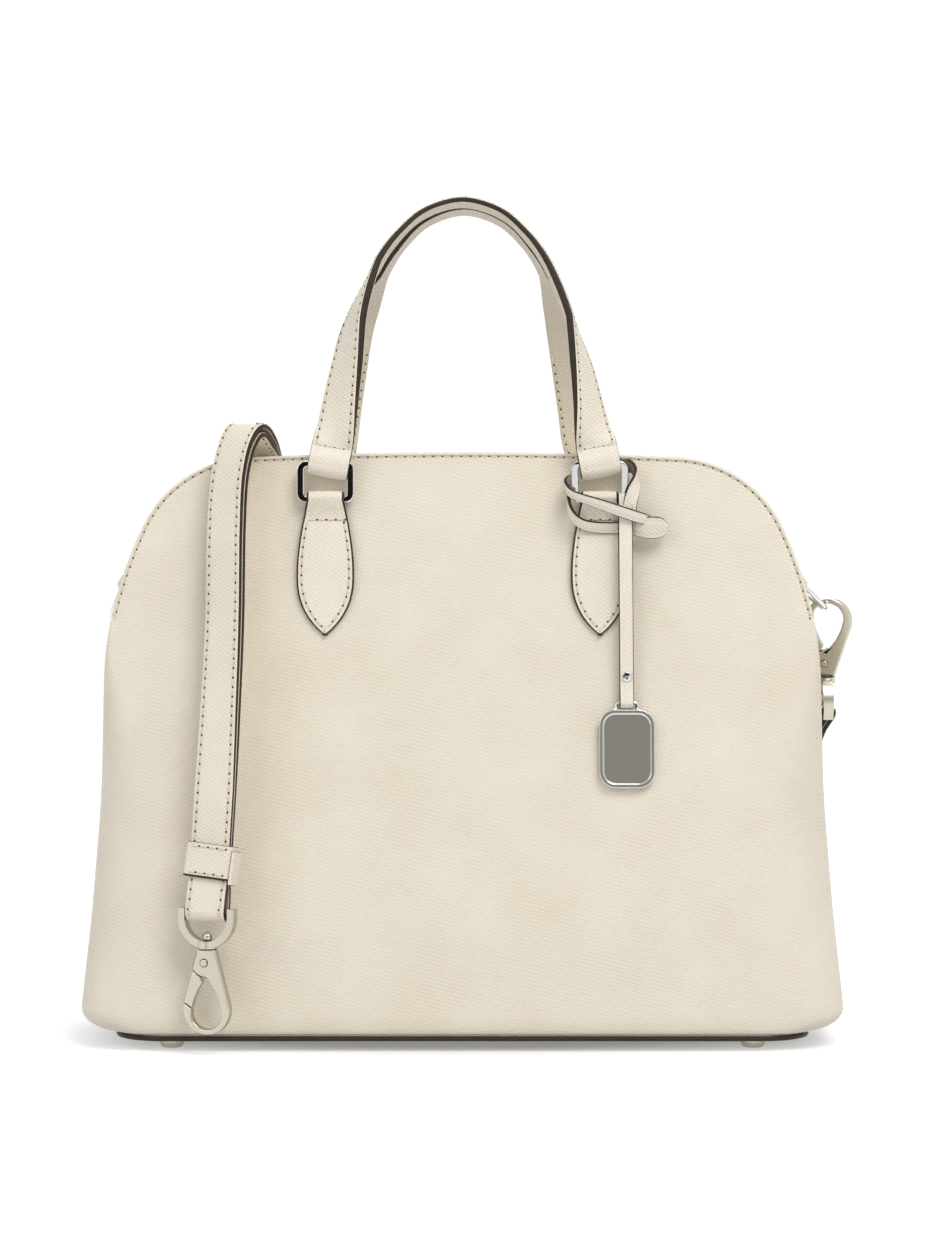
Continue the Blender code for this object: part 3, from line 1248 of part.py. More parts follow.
def make_lanyard():
    """Leather wrap on the ring's side bar, the doubled drop with its rivet, and the loose loop."""
    bar_x = RING_X + (RING_WINDOW + RING_SIDE_BAR) / 2
    thickness = LANYARD_THICKNESS
    half_x = RING_SIDE_BAR / 2 + GAP
    half_y = RING_DEPTH / 2 + GAP
    outer = rounded_rectangle(half_x + thickness, half_y + thickness, thickness, 3)
    inner = rounded_rectangle(half_x, half_y, GAP, 2)
    middle = Matrix.Translation((bar_x, -RING_AXIS_Y, WRAP_FOOT_Z + WRAP_HEIGHT / 2))
    plate("lanyard_wrap", [outer, inner], WRAP_HEIGHT, LEATHER, middle)
    bottom = Vector(LANYARD_BOTTOM)
    top = Vector((bar_x, -(RING_AXIS_Y + half_y + thickness * 2 + GAP), LANYARD_TOP_Z))
    down = (bottom - top).normalized()
    face = (Vector((0.0, -1.0, 0.0)) + down * down.y).normalized()
    half_pair = (thickness + GAP) / 2
    fold = BAIL_RADIUS + GAP + thickness / 2
    length = (bottom - top).length
    stations = []

    def add(along, off, looks):
        stations.append((top + down * along + face * off, looks, LANYARD_WIDTH, thickness))
    for degrees in (-90, -45, 0, 45, 90):
        angle = math.radians(degrees)
        away = face * math.sin(angle) - down * math.cos(angle)
        add(half_pair * (1.0 - math.cos(angle)), half_pair * math.sin(angle), away)
    for along in (length * 0.35, length * 0.7, length - 0.0075):
        add(along, half_pair, face)
    for degrees in range(80, -81, -40):
        angle = math.radians(degrees)
        add(length + fold * math.cos(angle), fold * math.sin(angle), face * math.sin(angle) + down * math.cos(angle))
    for along in (length - 0.0075, length * 0.7, length * 0.35):
        add(along, -half_pair, -face)
    drop = band("lanyard_drop", stations, LEATHER, closed=True)
    rivet_at = facing(bottom - down * LANYARD_RIVET_UP, down.cross(face), down)
    deep = half_pair + thickness
    hole_radius = LANYARD_PIN_RADIUS + GAP
    hole = [(0.0, deep), (hole_radius, deep), (hole_radius, -deep), (0.0, -deep)]
    boolean(drop, turned("hole", hole, SATIN, rivet_at, 12, CUTTERS), "DIFFERENCE")
    under = half_pair + thickness / 2 + GAP
    head = LANYARD_RIVET_RADIUS
    rivet = [
        (0.0, under + 0.0009), (head * 0.8, under + 0.0007), (head, under), (LANYARD_PIN_RADIUS, under),
        (LANYARD_PIN_RADIUS, -under), (head, -under), (head * 0.8, -under - 0.0007), (0.0, -under - 0.0009),
    ]
    turned("lanyard_rivet", rivet, SATIN, rivet_at, 16)
    make_loose_loop()
    make_tag(bottom)


def make_loose_loop():
    """Closed leather loop lying round the lanyard below the ring."""
    knots = [Vector(point) for point in LOOP_LINE]
    count = len(knots)
    middle = sum(knots, Vector()) / count
    stations = []
    for i in range(count):
        p0, p1, p2, p3 = knots[i - 1], knots[i], knots[(i + 1) % count], knots[(i + 2) % count]
        for t in (0.0, 0.5):
            point = 0.5 * (2 * p1 + (p2 - p0) * t + (2 * p0 - 5 * p1 + 4 * p2 - p3) * t ** 2
                           + (3 * p1 - p0 - 3 * p2 + p3) * t ** 3)
            away = Vector(((point.x - middle.x) * 0.12, point.y - middle.y, 0.0))
            stations.append((point, away, LANYARD_WIDTH * 0.9, LANYARD_THICKNESS))
    band("lanyard_loop", stations, LEATHER, closed=True)


def make_tag(hanger):
    """Plain metal tag with a raised rim, hanging from the lanyard by its bail."""
    lean = Matrix.Rotation(-TAG_LEAN, 4, "X")
    place = Matrix.Translation(hanger) @ lean
    middle = -BAIL_HEIGHT - TAG_HEIGHT / 2
    upright = place @ facing((0.0, 0.0, middle), (1, 0, 0), (0, 0, 1))
    edge = rounded_rectangle(TAG_WIDTH / 2, TAG_HEIGHT / 2, TAG_CORNER, 6)
    field = rounded_rectangle(TAG_WIDTH / 2 - TAG_RIM, TAG_HEIGHT / 2 - TAG_RIM, TAG_CORNER - TAG_RIM, 6)
    tag = plate("tag", [edge], TAG_THICKNESS, SATIN, upright)
    front = place @ facing((0.0, -TAG_THICKNESS / 2, middle), (1, 0, 0), (0, 0, 1))
    boolean(tag, plate("field", [field], TAG_RECESS * 2, SATIN, front, CUTTERS), "DIFFERENCE")
    half = BAIL_HALF_WIDTH
    low = -BAIL_HEIGHT - BAIL_RADIUS
    corner = BAIL_RADIUS
    wire = [(-half, low), (-half, -corner), (-half + corner, 0.0), (half - corner, 0.0), (half, -corner), (half, low)]
    bail = tube("bail", [place @ Vector((x, 0.0, z)) for x, z in wire], BAIL_RADIUS, SATIN, collection=CUTTERS)
    boolean(tag, bail, "UNION")


def build():
    """Make every piece."""
    make_panels()
    make_lining()
    make_gusset()
    make_zip()
    frame, slider_top = make_slider()
    make_puller(frame, slider_top)
    make_base()
    make_handles()
    make_d_ring("left", -1.0, D_ANGLE_LEFT)
    make_d_ring("right", 1.0, D_ANGLE_RIGHT)
    make_hook("front", front_hook_frame(), 0.0)
    make_hook("side", side_hook_frame(), SIDE_HOOK_SWIVEL)
    points, faces, split = make_strap()
    make_keeper(points, faces)
    make_adjuster(points, faces, split)
    make_lanyard()


build()
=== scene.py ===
"""Looks of a dome-top satchel in cream grained leather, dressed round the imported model.

Metres, +Z up. The front faces -Y, and z = 0 is the underside of the base panel.
"""
import json
import math

import bpy
from mathutils import Matrix, Vector, noise

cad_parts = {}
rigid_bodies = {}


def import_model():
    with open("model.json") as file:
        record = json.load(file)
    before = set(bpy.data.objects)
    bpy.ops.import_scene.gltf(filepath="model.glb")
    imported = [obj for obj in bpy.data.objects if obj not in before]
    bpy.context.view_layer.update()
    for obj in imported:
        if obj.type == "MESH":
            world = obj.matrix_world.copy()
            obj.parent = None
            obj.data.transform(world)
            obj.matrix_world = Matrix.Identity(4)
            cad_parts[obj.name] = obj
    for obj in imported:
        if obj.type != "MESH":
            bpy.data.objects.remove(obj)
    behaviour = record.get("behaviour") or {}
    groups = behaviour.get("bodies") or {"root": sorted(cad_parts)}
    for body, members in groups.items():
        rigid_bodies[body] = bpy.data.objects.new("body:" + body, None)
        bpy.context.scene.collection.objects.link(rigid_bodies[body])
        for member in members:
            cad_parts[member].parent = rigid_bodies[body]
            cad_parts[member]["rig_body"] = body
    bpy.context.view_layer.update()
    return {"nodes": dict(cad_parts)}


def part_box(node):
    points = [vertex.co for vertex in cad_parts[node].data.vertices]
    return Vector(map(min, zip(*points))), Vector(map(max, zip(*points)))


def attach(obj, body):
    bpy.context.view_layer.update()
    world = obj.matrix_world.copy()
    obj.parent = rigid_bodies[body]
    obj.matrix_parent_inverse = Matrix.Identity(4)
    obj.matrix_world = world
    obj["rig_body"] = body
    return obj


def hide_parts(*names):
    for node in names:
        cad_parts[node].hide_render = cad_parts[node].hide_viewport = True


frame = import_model()
bpy.context.scene.view_settings.view_transform = "Standard"


# Studio: a pale floor that runs out of sight, a white surround, three large soft lamps and a few toned cards.
# The camera stands level with the middle of the bag and looks straight at its front.

CAMERA_AT = (0.0, -1.300, 0.2035)
CAMERA_LENS = 75.4
CAMERA_SENSOR = 36.0
FOOT_HEIGHT = 0.0050
FLOOR_SIZE = 12.0
FLOOR_GREY = "#DDDDDE"
# Half size of the patch under the bag where the floor's own glow is lowered to paint a shadow, and that glow inside it
# and far away
PAINTED_SHADOW_REACH = (0.24, 0.10)
FLOOR_GLOW_AND_PAINTED_SHADOW = (0.24, 0.62)
# Strength of the surround as light and as it is seen
SURROUND_LIGHT = (0.54, 1.02)
# Place, size, lean from lying flat and tone of each card
CARDS = (
    ((-0.31, -1.33, 0.65), (0.58, 0.90), 90.0, "#1E1C1A"),
    ((0.20, -1.33, 0.58), (0.42, 0.40), 90.0, "#2A2825"),
    ((-0.24, -0.72, -0.004), (0.34, 0.60), 0.0, "#8A847A"),
    ((0.0957, -0.30, 0.1776), (0.050, 0.066), 90.0, "#9C988D"),
)
LAMP_SIZE = 1.2
# Name, place, height of the point it looks at and power of each lamp
LAMPS = (
    ("key_lamp", (0.8, -1.5, 2.1), 0.20, 30.0),
    ("fill_lamp", (-1.3, -1.5, 1.1), 0.15, 6.0),
    ("back_lamp", (0.2, 1.8, 1.6), 0.15, 9.0),
)


def hex_colour(code):
    """Linear colour of an sRGB hex code."""
    linear = []
    for place in (1, 3, 5):
        value = int(code[place:place + 2], 16) / 255.0
        linear.append(value / 12.92 if value <= 0.04045 else ((value + 0.055) / 1.055) ** 2.4)
    return (*linear, 1.0)


def add_node(tree, kind, settings=None, links=None):
    """Add one node, set its properties and inputs, and link its inputs from other sockets."""
    node = tree.nodes.new(kind)
    for key, value in (settings or {}).items():
        if isinstance(key, str) and hasattr(node, key):
            setattr(node, key, value)
        else:
            node.inputs[key].default_value = value
    for key, socket in (links or {}).items():
        tree.links.new(socket, node.inputs[key])
    return node


def new_finish(name, colour, roughness, metallic=0.0):
    """Principled material and its tree, ready for its pattern."""
    finish = bpy.data.materials.new(name)
    finish.use_nodes = True
    shader = finish.node_tree.nodes["Principled BSDF"]
    shader.inputs["Base Color"].default_value = hex_colour(colour)
    shader.inputs["Roughness"].default_value = roughness
    shader.inputs["Metallic"].default_value = metallic
    finish.diffuse_color = hex_colour(colour)
    return finish, finish.node_tree, shader


def bare_tree(owner):
    """Node tree of a material or world, emptied."""
    owner.use_nodes = True
    owner.node_tree.nodes.clear()
    return owner.node_tree


def seen_directly(tree):
    """Socket that is 1 for rays that look at a surface and 0 for light that falls on others."""
    ray = add_node(tree, "ShaderNodeLightPath").outputs
    seen = add_node(tree, "ShaderNodeMath", {"operation": "MAXIMUM"},
                    {0: ray["Is Camera Ray"], 1: ray["Is Glossy Ray"]})
    return add_node(tree, "ShaderNodeMath", {"operation": "MAXIMUM"},
                    {0: seen.outputs[0], 1: ray["Is Transmission Ray"]}).outputs[0]


def studio_sheet(name, surface, place, size, lean=0.0):
    """Flat sheet of the studio and the empty tree of its material."""
    bpy.ops.object.select_all(action="DESELECT")
    bpy.ops.mesh.primitive_plane_add(size=1.0, location=place, rotation=(math.radians(lean), 0.0, 0.0))
    sheet = bpy.context.object
    sheet.name = name
    sheet.scale = (*size, 1.0)
    bpy.ops.object.transform_apply(location=True, rotation=True, scale=True)
    sheet.data.materials.append(bpy.data.materials.new(surface))
    return sheet, bare_tree(sheet.data.materials[0])


def studio_floor():
    """Matt floor that looks white where nothing shades it; its glow is lower near the bag, a painted shadow added to
    the real one.
    """
    floor, tree = studio_sheet("studio_floor", "matt_paper", (0.0, 0.0, -FOOT_HEIGHT), (FLOOR_SIZE, FLOOR_SIZE))
    matt = add_node(tree, "ShaderNodeBsdfDiffuse", {"Color": hex_colour(FLOOR_GREY)})
    where = add_node(tree, "ShaderNodeTexCoord")
    near = add_node(tree, "ShaderNodeMapping", {"Scale": (1.0 / PAINTED_SHADOW_REACH[0], 1.0 / PAINTED_SHADOW_REACH[1], 0.0)},
                    {"Vector": where.outputs["Object"]})
    away = add_node(tree, "ShaderNodeVectorMath", {"operation": "LENGTH"}, {0: near.outputs[0]})
    # Painted shadow: the floor's glow grows from low under the bag to full away from it
    painted_shadow_sweep = add_node(tree, "ShaderNodeMapRange",
                     {"From Min": 0.5, "From Max": 1.1, "To Min": FLOOR_GLOW_AND_PAINTED_SHADOW[0], "To Max": FLOOR_GLOW_AND_PAINTED_SHADOW[1]},
                     {"Value": away.outputs["Value"]})
    lift = add_node(tree, "ShaderNodeMath", {"operation": "MULTIPLY"}, {0: painted_shadow_sweep.outputs[0], 1: seen_directly(tree)})
    glow = add_node(tree, "ShaderNodeEmission", None, {"Strength": lift.outputs[0]})
    both = add_node(tree, "ShaderNodeAddShader", None, {0: matt.outputs[0], 1: glow.outputs[0]})
    add_node(tree, "ShaderNodeOutputMaterial", None, {"Surface": both.outputs[0]})


def studio_surround():
    """Even soft light from all round, white where it is seen."""
    world = bpy.data.worlds.new("white_surround")
    bpy.context.scene.world = world
    tree = bare_tree(world)
    strength = add_node(tree, "ShaderNodeMapRange", {"To Min": SURROUND_LIGHT[0], "To Max": SURROUND_LIGHT[1]},
                        {"Value": seen_directly(tree)})
    light = add_node(tree, "ShaderNodeBackground", {"Color": (1.0, 1.0, 1.0, 1.0)}, {"Strength": strength.outputs[0]})
    add_node(tree, "ShaderNodeOutputWorld", None, {"Surface": light.outputs[0]})


def soft_lamp(name, place, aim_height, power):
    """Large square lamp that looks at the bag's middle plane at a height."""
    lamp = bpy.data.lights.new(name, "AREA")
    lamp.shape = "SQUARE"
    lamp.size = LAMP_SIZE
    lamp.energy = power
    stand = bpy.data.objects.new(name, lamp)
    bpy.context.scene.collection.objects.link(stand)
    stand.location = place
    stand.rotation_euler = (Vector((0.0, 0.0, aim_height)) - Vector(place)).to_track_quat("-Z", "Y").to_euler()


def toned_card(place, size, lean, tone):
    """Card that only polished metal sees, so that its flat faces read dark."""
    card, tree = studio_sheet("dark_card", "card_tone", place, size, lean)
    glow = add_node(tree, "ShaderNodeEmission", {"Color": hex_colour(tone), "Strength": 1.0})
    add_node(tree, "ShaderNodeOutputMaterial", None, {"Surface": glow.outputs[0]})
    card.visible_camera = False
    card.visible_diffuse = False
    card.visible_shadow = False


def studio_camera():
    """Level camera in front of the bag."""
    lens = bpy.data.cameras.new("camera")
    lens.lens = CAMERA_LENS
    lens.sensor_width = CAMERA_SENSOR
    lens.sensor_fit = "AUTO"
    camera = bpy.data.objects.new("camera", lens)
    bpy.context.scene.collection.objects.link(camera)
    camera.location = CAMERA_AT
    camera.rotation_euler = (math.radians(90.0), 0.0, 0.0)
    bpy.context.scene.camera = camera


studio_floor()
studio_surround()
studio_camera()
for lamp in LAMPS:
    soft_lamp(*lamp)
for card in CARDS:
    toned_card(*card)


# Front and back panels: cowhide of 2 mm with a pressed diagonal grain, cut flat, wrapped round the corners
# and sewn at the sides. They bell out a little low down, where the load sits, and draw in at the side seams.

GAP = 0.0003
BODY_HEIGHT = 0.2845
ARCS = ((2.300, math.radians(2.65)), (0.0585, math.radians(62.65)), (0.2073, math.radians(21.0)))
TOP_END = ARCS[0][0] * ARCS[0][1]
SHOULDER_END = TOP_END + ARCS[1][0] * ARCS[1][1]
BASE_HALF_DEPTH = 0.0650
TOP_HALF_DEPTH = 0.0275
DEPTH_TAPER = (BASE_HALF_DEPTH - TOP_HALF_DEPTH) / BODY_HEIGHT
CORNER_RADIUS = 0.0350
FOOT_CORNER_RADIUS = 0.0240
FOOT_CORNER_HEIGHT = 0.0700
CORNER_FADE_START = 0.100
SEAM_CORNER_RADIUS = 0.0010
SEAM_HEIGHT = 0.2020
BOTTOM_ROUND_HEIGHT = 0.0110
BOTTOM_ROUND_SIDE = 0.0185
BOTTOM_ROUND_FRONT = 0.0035
PANEL_THICKNESS = 0.0020
BASE_THICKNESS = 0.0030
WALL_FOOT = BASE_THICKNESS + GAP
SIDE_COLUMNS = 8
CORNER_COLUMNS = 10
WRAP_COLUMNS = SIDE_COLUMNS + CORNER_COLUMNS
FACE_COLUMNS = 44
LOW_ROWS = 46
HIGH_ROWS = 48
BELLY = 0.0018
BELLY_RISE = (0.012, 0.055)
BELLY_FALL = (0.055, 0.120)
BELLY_FADE = (0.070, 0.150)
# Waves across, waves aslant, slice, waves up and height of each layer of unevenness
UNEVEN = ((22.0, 0.0, 3.7, 16.0, 0.00016), (55.0, 30.0, 9.1, 40.0, 0.00005))
SIDE_DRAW = 0.0014
GRAIN_PITCH = (0.00135, 0.00180)


def outline(length, inset=0.0):
    """Point of the body's outline at a length from the top middle, and the lean of its normal."""
    side = -1.0 if length < 0.0 else 1.0
    left = abs(length)
    x, z, lean = 0.0, BODY_HEIGHT, 0.0
    for radius, painted_shadow_sweep in ARCS:
        step = min(left / radius, painted_shadow_sweep)
        x += radius * (math.sin(lean + step) - math.sin(lean))
        z += radius * (math.cos(lean + step) - math.cos(lean))
        lean += step
        left = max(left - step * radius, 0.0)
    x += left * math.cos(lean) - inset * math.sin(lean)
    z -= left * math.sin(lean) + inset * math.cos(lean)
    return side * x, z, side * lean


def length_at(height):
    """Length along the outline at which its side reaches a height."""
    low, high = TOP_END, 2.0 * BODY_HEIGHT + TOP_END
    for _ in range(50):
        middle = (low + high) / 2
        if outline(middle)[1] > height:
            low = middle
        else:
            high = middle
    return low


def half_depth(z):
    """Distance of the flat front and back faces from the middle plane."""
    return BASE_HALF_DEPTH - DEPTH_TAPER * z


def bottom_round(z):
    """Share of the rounding of the bottom edge, from 0 above it to 1 at the base panel."""
    t = min(max((WALL_FOOT + BOTTOM_ROUND_HEIGHT - z) / BOTTOM_ROUND_HEIGHT, 0.0), 1.0)
    return 1.0 - math.sqrt(1.0 - t * t)


def ease(value, low, high):
    """Smooth step from 0 at low to 1 at high."""
    t = min(max((value - low) / (high - low), 0.0), 1.0)
    return t * t * (3.0 - 2.0 * t)


def corner_radius(z):
    """Radius of the upright corners: tight at the foot, full low down, an edge at the gusset's seam."""
    full = FOOT_CORNER_RADIUS + (CORNER_RADIUS - FOOT_CORNER_RADIUS) * ease(z, 0.0, FOOT_CORNER_HEIGHT)
    return full + (SEAM_CORNER_RADIUS - full) * ease(z, CORNER_FADE_START, SEAM_HEIGHT)


def even_steps(reach, steps):
    """Even steps from minus a reach to plus the reach."""
    return [reach * (2.0 * n / steps - 1.0) for n in range(steps + 1)]


def turning(first, last, step):
    """Angles from one to another, both included, given in degrees."""
    return [math.radians(degrees) for degrees in range(first, last + (1 if step > 0 else -1), step)]


def softness(x, z):
    """How far the leather stands out of the flat face: a low belly and faint unevenness."""
    belly = BELLY * ease(z, *BELLY_RISE) * (1.0 - ease(z, *BELLY_FALL))
    belly *= 1.0 - ease(abs(x), *BELLY_FADE)
    uneven = sum(noise.noise(Vector((x * across + z * aslant, place, z * up))) * height
                 for across, aslant, place, up, height in UNEVEN)
    return belly + uneven * ease(z, 0.010, 0.030)


def low_row(z, inset):
    """Section of the front half below the seam, from the left side seam round to the right one."""
    a = outline(length_at(z))[0] - inset - BOTTOM_ROUND_SIDE * bottom_round(z)
    b = half_depth(z) - inset - BOTTOM_ROUND_FRONT * bottom_round(z)
    r = max(corner_radius(z) - inset, 0.0003)
    draw = SIDE_DRAW * ease(z, 0.015, 0.070) * (1.0 - ease(z, 0.120, 0.190))
    left = []
    for n in range(SIDE_COLUMNS):
        y = GAP / 2 + (b - r - GAP / 2) * n / SIDE_COLUMNS
        left.append((-a + draw * (1.0 - ease(y, 0.0, 0.7 * b)), -y))
    for n in range(CORNER_COLUMNS + 1):
        angle = math.radians(90.0 * n / CORNER_COLUMNS)
        left.append((-a + r - r * math.cos(angle), -b + r - r * math.sin(angle)))
    face = [(x, -b - softness(x, z)) for x in even_steps(a - r, FACE_COLUMNS)[1:-1]]
    right = [(-x, y) for x, y in reversed(left)]
    return [(x, y, z) for x, y in left + face + right]


def high_row(length, inset):
    """Row of the front face above the seam, arched more and more towards the top edge."""
    x_end, z_end, _ = outline(length, inset)
    top_end = outline(TOP_END, inset)[1]
    rise = outline(0.0, inset)[1] - top_end
    share = (z_end - SEAM_HEIGHT) / (top_end - SEAM_HEIGHT)
    row = []
    for u in even_steps(1.0, FACE_COLUMNS):
        z = z_end + rise * share * (1.0 - u * u)
        calm = min(1.0, 12.0 * (1.0 - abs(u))) * min(1.0, 12.0 * (1.0 - share))
        row.append((u * x_end, -(half_depth(z) - inset + softness(u * x_end, z) * calm), z))
    return [row[0]] * WRAP_COLUMNS + row + [row[-1]] * WRAP_COLUMNS


def half_body_rows(inset):
    """All rows of the front half, close together where the bottom rounds, and the count of those below the seam."""
    low = [WALL_FOOT]
    for angle in turning(80, 0, -10):
        low.append(WALL_FOOT + BOTTOM_ROUND_HEIGHT * (1.0 - math.sin(angle)))
    foot = low[-1]
    low += [foot + (SEAM_HEIGHT - foot) * n / LOW_ROWS for n in range(1, LOW_ROWS + 1)]
    start = length_at(SEAM_HEIGHT)
    high = [start + (TOP_END - start) * n / HIGH_ROWS for n in range(1, HIGH_ROWS + 1)]
    return [low_row(z, inset) for z in low] + [high_row(length, inset) for length in high], len(low)


def laid_grid(name, rows, *finishes):
    """Grid primitive whose points are laid on rows of places, with its materials."""
    bpy.ops.object.select_all(action="DESELECT")
    bpy.ops.mesh.primitive_grid_add(x_subdivisions=len(rows[0]) - 1, y_subdivisions=len(rows) - 1, size=1.0)
    piece = bpy.context.object
    piece.name = name
    piece.data.name = name
    piece.data.vertices.foreach_set("co", [value for row in rows for place in row for value in place])
    piece.data.update()
    for finish in finishes:
        piece.data.materials.append(finish)
    return piece


def work_mesh(piece, *steps):
    """Take the whole mesh through steps of (operator, settings)."""
    bpy.context.view_layer.objects.active = piece
    bpy.ops.object.mode_set(mode="EDIT")
    bpy.ops.mesh.select_mode(type="VERT")
    for operator, settings in steps:
        bpy.ops.mesh.select_all(action="SELECT")
        operator(**settings)
    bpy.ops.object.mode_set(mode="OBJECT")


MERGE = (bpy.ops.mesh.remove_doubles, {"threshold": 0.00001})
CLOSE = (bpy.ops.mesh.fill_holes, {"sides": 0})
FACE_OUT = (bpy.ops.mesh.normals_make_consistent, {"inside": False})


def drop_faces(piece, rows, unwanted):
    """Delete the faces whose row and column in the grid are unwanted, and their loose points."""
    bpy.ops.object.mode_set(mode="EDIT")
    bpy.ops.mesh.select_all(action="DESELECT")
    bpy.ops.mesh.select_mode(type="FACE")
    bpy.ops.object.mode_set(mode="OBJECT")
    for face in piece.data.polygons:
        face.select = unwanted(*divmod(face.index, len(rows[0]) - 1))
    bpy.ops.object.mode_set(mode="EDIT")
    bpy.ops.mesh.delete(type="FACE")
    bpy.ops.object.mode_set(mode="OBJECT")


def beside_face(column):
    """Whether a column of the front half's grid lies round the corner from its flat face."""
    return not WRAP_COLUMNS <= column < WRAP_COLUMNS + FACE_COLUMNS


def face_towards(piece, direction):
    """Turn the faces round where most of them look away from a direction."""
    looks = sum((face.normal * face.area for face in piece.data.polygons), Vector())
    if looks.dot(Vector(direction)) < 0.0:
        work_mesh(piece, (bpy.ops.mesh.flip_normals, {}))


def apply_all(piece):
    """Apply every modifier in order."""
    bpy.context.view_layer.objects.active = piece
    for modifier in list(piece.modifiers):
        bpy.ops.object.modifier_apply(modifier=modifier.name)


def smooth(piece, degrees):
    """Shade a piece smooth across edges flatter than an angle."""
    bpy.ops.object.select_all(action="DESELECT")
    piece.select_set(True)
    bpy.context.view_layer.objects.active = piece
    bpy.ops.object.shade_smooth_by_angle(angle=math.radians(degrees))


def close_up(piece, degrees):
    """Merge a rolled grid's meeting columns, fill its ends and shade it smooth."""
    work_mesh(piece, MERGE, CLOSE, FACE_OUT)
    smooth(piece, degrees)


def round_edges(piece, width, segments, degrees, clamp=True):
    """Round the edges that are sharper than an angle, and apply all modifiers."""
    bevel = piece.modifiers.new("rounded_edge", "BEVEL")
    bevel.width = width
    bevel.segments = segments
    bevel.limit_method = "ANGLE"
    bevel.angle_limit = math.radians(degrees)
    bevel.use_clamp_overlap = clamp
    apply_all(piece)


def give_wall(piece, thickness, edge_round):
    """Give a sheet its thickness inwards and round its cut edges."""
    wall = piece.modifiers.new("wall", "SOLIDIFY")
    wall.thickness = thickness
    wall.offset = -1.0
    wall.use_even_offset = True
    wall.use_quality_normals = True
    round_edges(piece, edge_round, 2, 55.0)
    smooth(piece, 60.0)


def ridge_lines(tree, where, turn, pitch):
    """Slightly wandering parallel ridges, leaning by an angle in the plane of the front."""
    turned = add_node(tree, "ShaderNodeMapping", {"Rotation": (0.0, math.radians(turn), 0.0)}, {"Vector": where})
    return add_node(tree, "ShaderNodeTexWave", {"bands_direction": "Z", "Scale": math.tau / 20.0 / pitch,
                                                "Distortion": 2.2, "Detail": 2.0, "Detail Scale": 0.55},
                    {"Vector": turned.outputs[0]}).outputs["Fac"]


def grained_leather(name, colour, pale, turns):
    """Drum-dyed cowhide with a pressed grain: matt, faintly mottled, crossed by two sets of fine pale ridges."""
    finish, tree, shader = new_finish(name, colour, 0.52)
    shader.inputs["Specular IOR Level"].default_value = 0.38
    where = add_node(tree, "ShaderNodeTexCoord").outputs["Object"]
    first, second = (ridge_lines(tree, where, turn, pitch) for turn, pitch in zip(turns, GRAIN_PITCH))
    crossed = add_node(tree, "ShaderNodeMath", {"operation": "MULTIPLY_ADD", 1: 0.6}, {0: second, 2: first})
    ridge = add_node(tree, "ShaderNodeMapRange", {"From Min": 0.35, "From Max": 1.50}, {"Value": crossed.outputs[0]})
    # A noise has as many cells to the metre as its scale: mottling about 4 cm wide, and pores about 1 mm
    # wide, which is coarser than real ones so that they show
    mottle = add_node(tree, "ShaderNodeTexNoise", {"Scale": 26.0, "Detail": 3.0}, {"Vector": where})
    pores = add_node(tree, "ShaderNodeTexNoise", {"Scale": 900.0, "Detail": 2.0}, {"Vector": where})
    tone = add_node(tree, "ShaderNodeMix", {"data_type": "RGBA", 6: hex_colour(colour), 7: hex_colour(pale)},
                    {0: mottle.outputs["Fac"]})
    light = add_node(tree, "ShaderNodeMath", {"operation": "MULTIPLY", 1: 0.85}, {0: ridge.outputs[0]})
    lined = add_node(tree, "ShaderNodeMix", {"data_type": "RGBA", 7: hex_colour(pale)},
                     {0: light.outputs[0], 6: tone.outputs[2]})
    tree.links.new(lined.outputs[2], shader.inputs["Base Color"])
    worn = add_node(tree, "ShaderNodeMapRange", {"To Min": 0.46, "To Max": 0.60}, {"Value": pores.outputs["Fac"]})
    tree.links.new(worn.outputs[0], shader.inputs["Roughness"])
    height = add_node(tree, "ShaderNodeMath", {"operation": "MULTIPLY_ADD", 1: 0.25},
                      {0: pores.outputs["Fac"], 2: ridge.outputs[0]})
    bump = add_node(tree, "ShaderNodeBump", {"Strength": 0.60, "Distance": 0.00025}, {"Height": height.outputs[0]})
    tree.links.new(bump.outputs[0], shader.inputs["Normal"])
    return finish


PANEL_LEATHER = grained_leather("grained_cowhide", "#D6C9B2", "#F3EBDB", (48.0, -14.0))


def body_panel(name, node, back):
    """One panel: laid on its rows, trimmed above the seam, given its wall and edges."""
    rows, low_count = half_body_rows(0.0)
    if back:
        rows = [[(x, -y, z) for x, y, z in row] for row in rows]
    piece = laid_grid(name, rows, PANEL_LEATHER)
    drop_faces(piece, rows, lambda row, column: row >= low_count - 1 and beside_face(column))
    face_towards(piece, (0.0, 1.0 if back else -1.0, 0.0))
    give_wall(piece, PANEL_THICKNESS, 0.0004)
    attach(piece, "bag")
    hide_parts(node)


body_panel("panel_front", "front_panel", False)
body_panel("panel_back", "back_panel", True)


# Sewing: waxed polyester thread in the leather's own colour, a stitch every 4.6 mm. Each stitch is a short
# arched length that dives into dark needle holes; along the dome the panels also carry a turned lip.

STITCH_PITCH = 0.0046
STITCH_REACH = STITCH_PITCH * 0.38
STITCH_RINGS = 5
STITCH_SIDES = 6
THREAD_RADIUS = 0.00034
NEEDLE_HOLE = 0.00062
LIP_WIDTH = 0.0014
LIP_HEIGHT = 0.0009
SEAM_INSET = 0.0019


def ring_faces(rings, sides):
    """Faces between rings of points and over both ends."""
    faces = []
    for ring in range(rings - 1):
        for side in range(sides):
            a = ring * sides + side
            b = ring * sides + (side + 1) % sides
            faces.append((a, a + sides, b + sides, b))
    return faces + [tuple(range(sides)), tuple(reversed(range((rings - 1) * sides, rings * sides)))]


